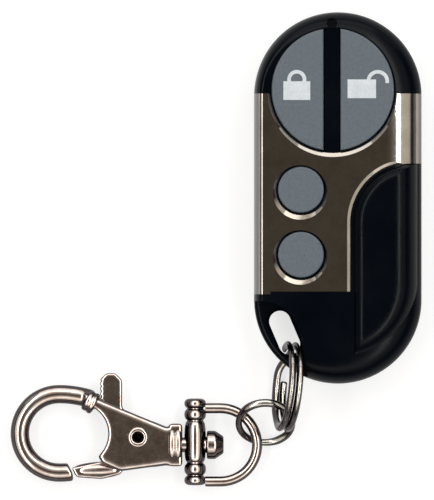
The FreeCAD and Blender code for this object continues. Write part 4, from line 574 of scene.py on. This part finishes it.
def bead(name, body, rings, wide, turned, place):
    """A turned form: rings of height and radius in millimetres along an axis, pressed wide in its
    second direction, turned by three angles in degrees and moved to its place."""
    bpy.ops.object.select_all(action="DESELECT")
    height, radius = rings[0][0] * MM, rings[0][1] * MM
    bpy.ops.mesh.primitive_circle_add(
        vertices=BEAD_SIDES, radius=radius, fill_type="NGON", location=(0, 0, height),
    )
    form = bpy.context.object
    form.name = name
    bpy.ops.object.transform_apply(location=True)
    bpy.ops.object.mode_set(mode="EDIT")
    bpy.ops.mesh.select_all(action="SELECT")
    for next_height, next_radius in rings[1:]:
        next_height, next_radius = next_height * MM, next_radius * MM
        rise = (0, 0, next_height - height)
        bpy.ops.mesh.extrude_region_move(TRANSFORM_OT_translate={"value": rise})
        size = next_radius / radius
        bpy.ops.transform.resize(value=(size, size, 1), center_override=(0, 0, next_height))
        height, radius = next_height, next_radius
    bpy.ops.mesh.select_all(action="SELECT")
    bpy.ops.mesh.normals_make_consistent(inside=False)
    bpy.ops.object.mode_set(mode="OBJECT")
    form.scale = (1, wide, 1)
    bpy.ops.object.transform_apply(scale=True)
    form.rotation_euler = [math.radians(angle) for angle in turned]
    form.location = place
    bpy.ops.object.transform_apply(location=True, rotation=True)
    soft = form.modifiers.new("Soft", "SUBSURF")
    soft.levels = 2
    soft.render_levels = 2
    bpy.ops.object.modifier_apply(modifier=soft.name)
    bpy.ops.object.shade_smooth()
    form.data.materials.append(clasp_nickel)
    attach(form, body)
    return form


MID_HEIGHT = 2.6 * MM
ROLL_RADIUS = 1.97
GROOVE_RADIUS = 1.45
END_RADIUS = 1.2
ROUND_OVER = 0.3
BAR_START, BAR_END = 0.25, 15.75
BAR_ROLLS = [(0.35, 1.95), (2.15, 4.15), (4.45, 11.65), (11.95, 13.85), (14.05, 15.65)]
bar_rings = [(BAR_START, END_RADIUS)]
for start, end in BAR_ROLLS:
    bar_rings.append((start, GROOVE_RADIUS))
    bar_rings.append((start + ROUND_OVER, ROLL_RADIUS))
    bar_rings.append((end - ROUND_OVER, ROLL_RADIUS))
    bar_rings.append((end, GROOVE_RADIUS))
bar_rings.append((BAR_END, END_RADIUS))
bar_place = (bar_low[0] + ROLL_RADIUS * MM, bar_low[1], MID_HEIGHT)
bead("SwivelBar", "loop", bar_rings, 1.25, (-90, 0, 0), bar_place)

# Hollow rivet: the gate's pivot, a tube through the plate. Its upper end is rolled over into a
# bright ring with an open middle.
RIVET_RINGS = [
    (0.00, 1.45), (0.15, 1.60), (0.50, 1.60), (4.60, 1.60), (4.75, 1.88), (4.88, 1.90),
    (5.06, 1.72), (5.18, 1.40), (5.12, 1.08), (4.90, 0.92), (4.50, 0.86), (3.90, 0.74),
    (2.90, 0.40), (2.40, 0.05),
]
rivet_low, rivet_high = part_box("gate_rivet")
rivet_place = (
    (rivet_low[0] + rivet_high[0]) / 2, (rivet_low[1] + rivet_high[1]) / 2, rivet_low[2],
)
rivet = bead("HollowRivet", "clasp", RIVET_RINGS, 1.0, (0, 0, 0), rivet_place)
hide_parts("gate_rivet")

# Hook collar: two rolls round the root of the hook, where the round hook grows out of the flat
# plate. They lean with the hook.
COLLAR_RINGS = [
    (-1.1, 1.45), (-0.9, 1.90), (-0.3, 2.00), (0.0, 1.75), (0.3, 2.05), (0.9, 1.95), (1.1, 1.45),
]
COLLAR_PLACE = (-44.0 * MM, -36.35 * MM, 3.35 * MM)
bead("HookCollar", "clasp", COLLAR_RINGS, 1.0, (0, 90, -30), COLLAR_PLACE)

# Neck ring: two rolls round the end of the clasp that faces the swivel bar. They are wider than
# tall, like the neck under them.
NECK_RINGS = [
    (0.0, 2.2), (0.2, 2.68), (0.95, 2.75), (1.2, 2.45), (1.45, 2.75), (2.2, 2.68), (2.4, 2.2),
]
NECK_SETBACK = 2.50 * MM
neck_place = (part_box("clasp_body")[1][0] - NECK_SETBACK, -43.85 * MM, 3.0 * MM)
bead("NeckRing", "clasp", NECK_RINGS, 1.36, (0, 90, 0), neck_place)

# Gate bar: the round tapered end of the gate, which closes the hook. It rides on the gate's
# casting and opens with it.
GATE_RINGS = [
    (0.0, 0.45), (0.4, 0.95), (2.0, 1.30), (4.5, 1.52), (6.5, 1.45), (8.0, 1.10), (8.7, 0.45),
]
GATE_PLACE = (-47.05 * MM, -48.65 * MM, MID_HEIGHT)
bead("GateBar", "gate", GATE_RINGS, 1.0, (0, 90, 2.4), GATE_PLACE)

# Gate spring: a plain bright sleeve of spring steel round the rivet, hidden between the clasp's
# cheeks. It stands for a small torsion spring.
spring_bright = new_finish(
    "SpringBright", PLATING, 0.002 * MM, {"Metallic": 1.0},
    Bright=(0.60, 0.60, 0.61, 1), Tarnish=(0.35, 0.34, 0.33, 1),
    Mottle_Scale=900.0, Tarnish_Amount=0.5, Smooth=0.2, Rough=0.35,
)
coat(spring_bright, "spring_steel", "gate_spring")
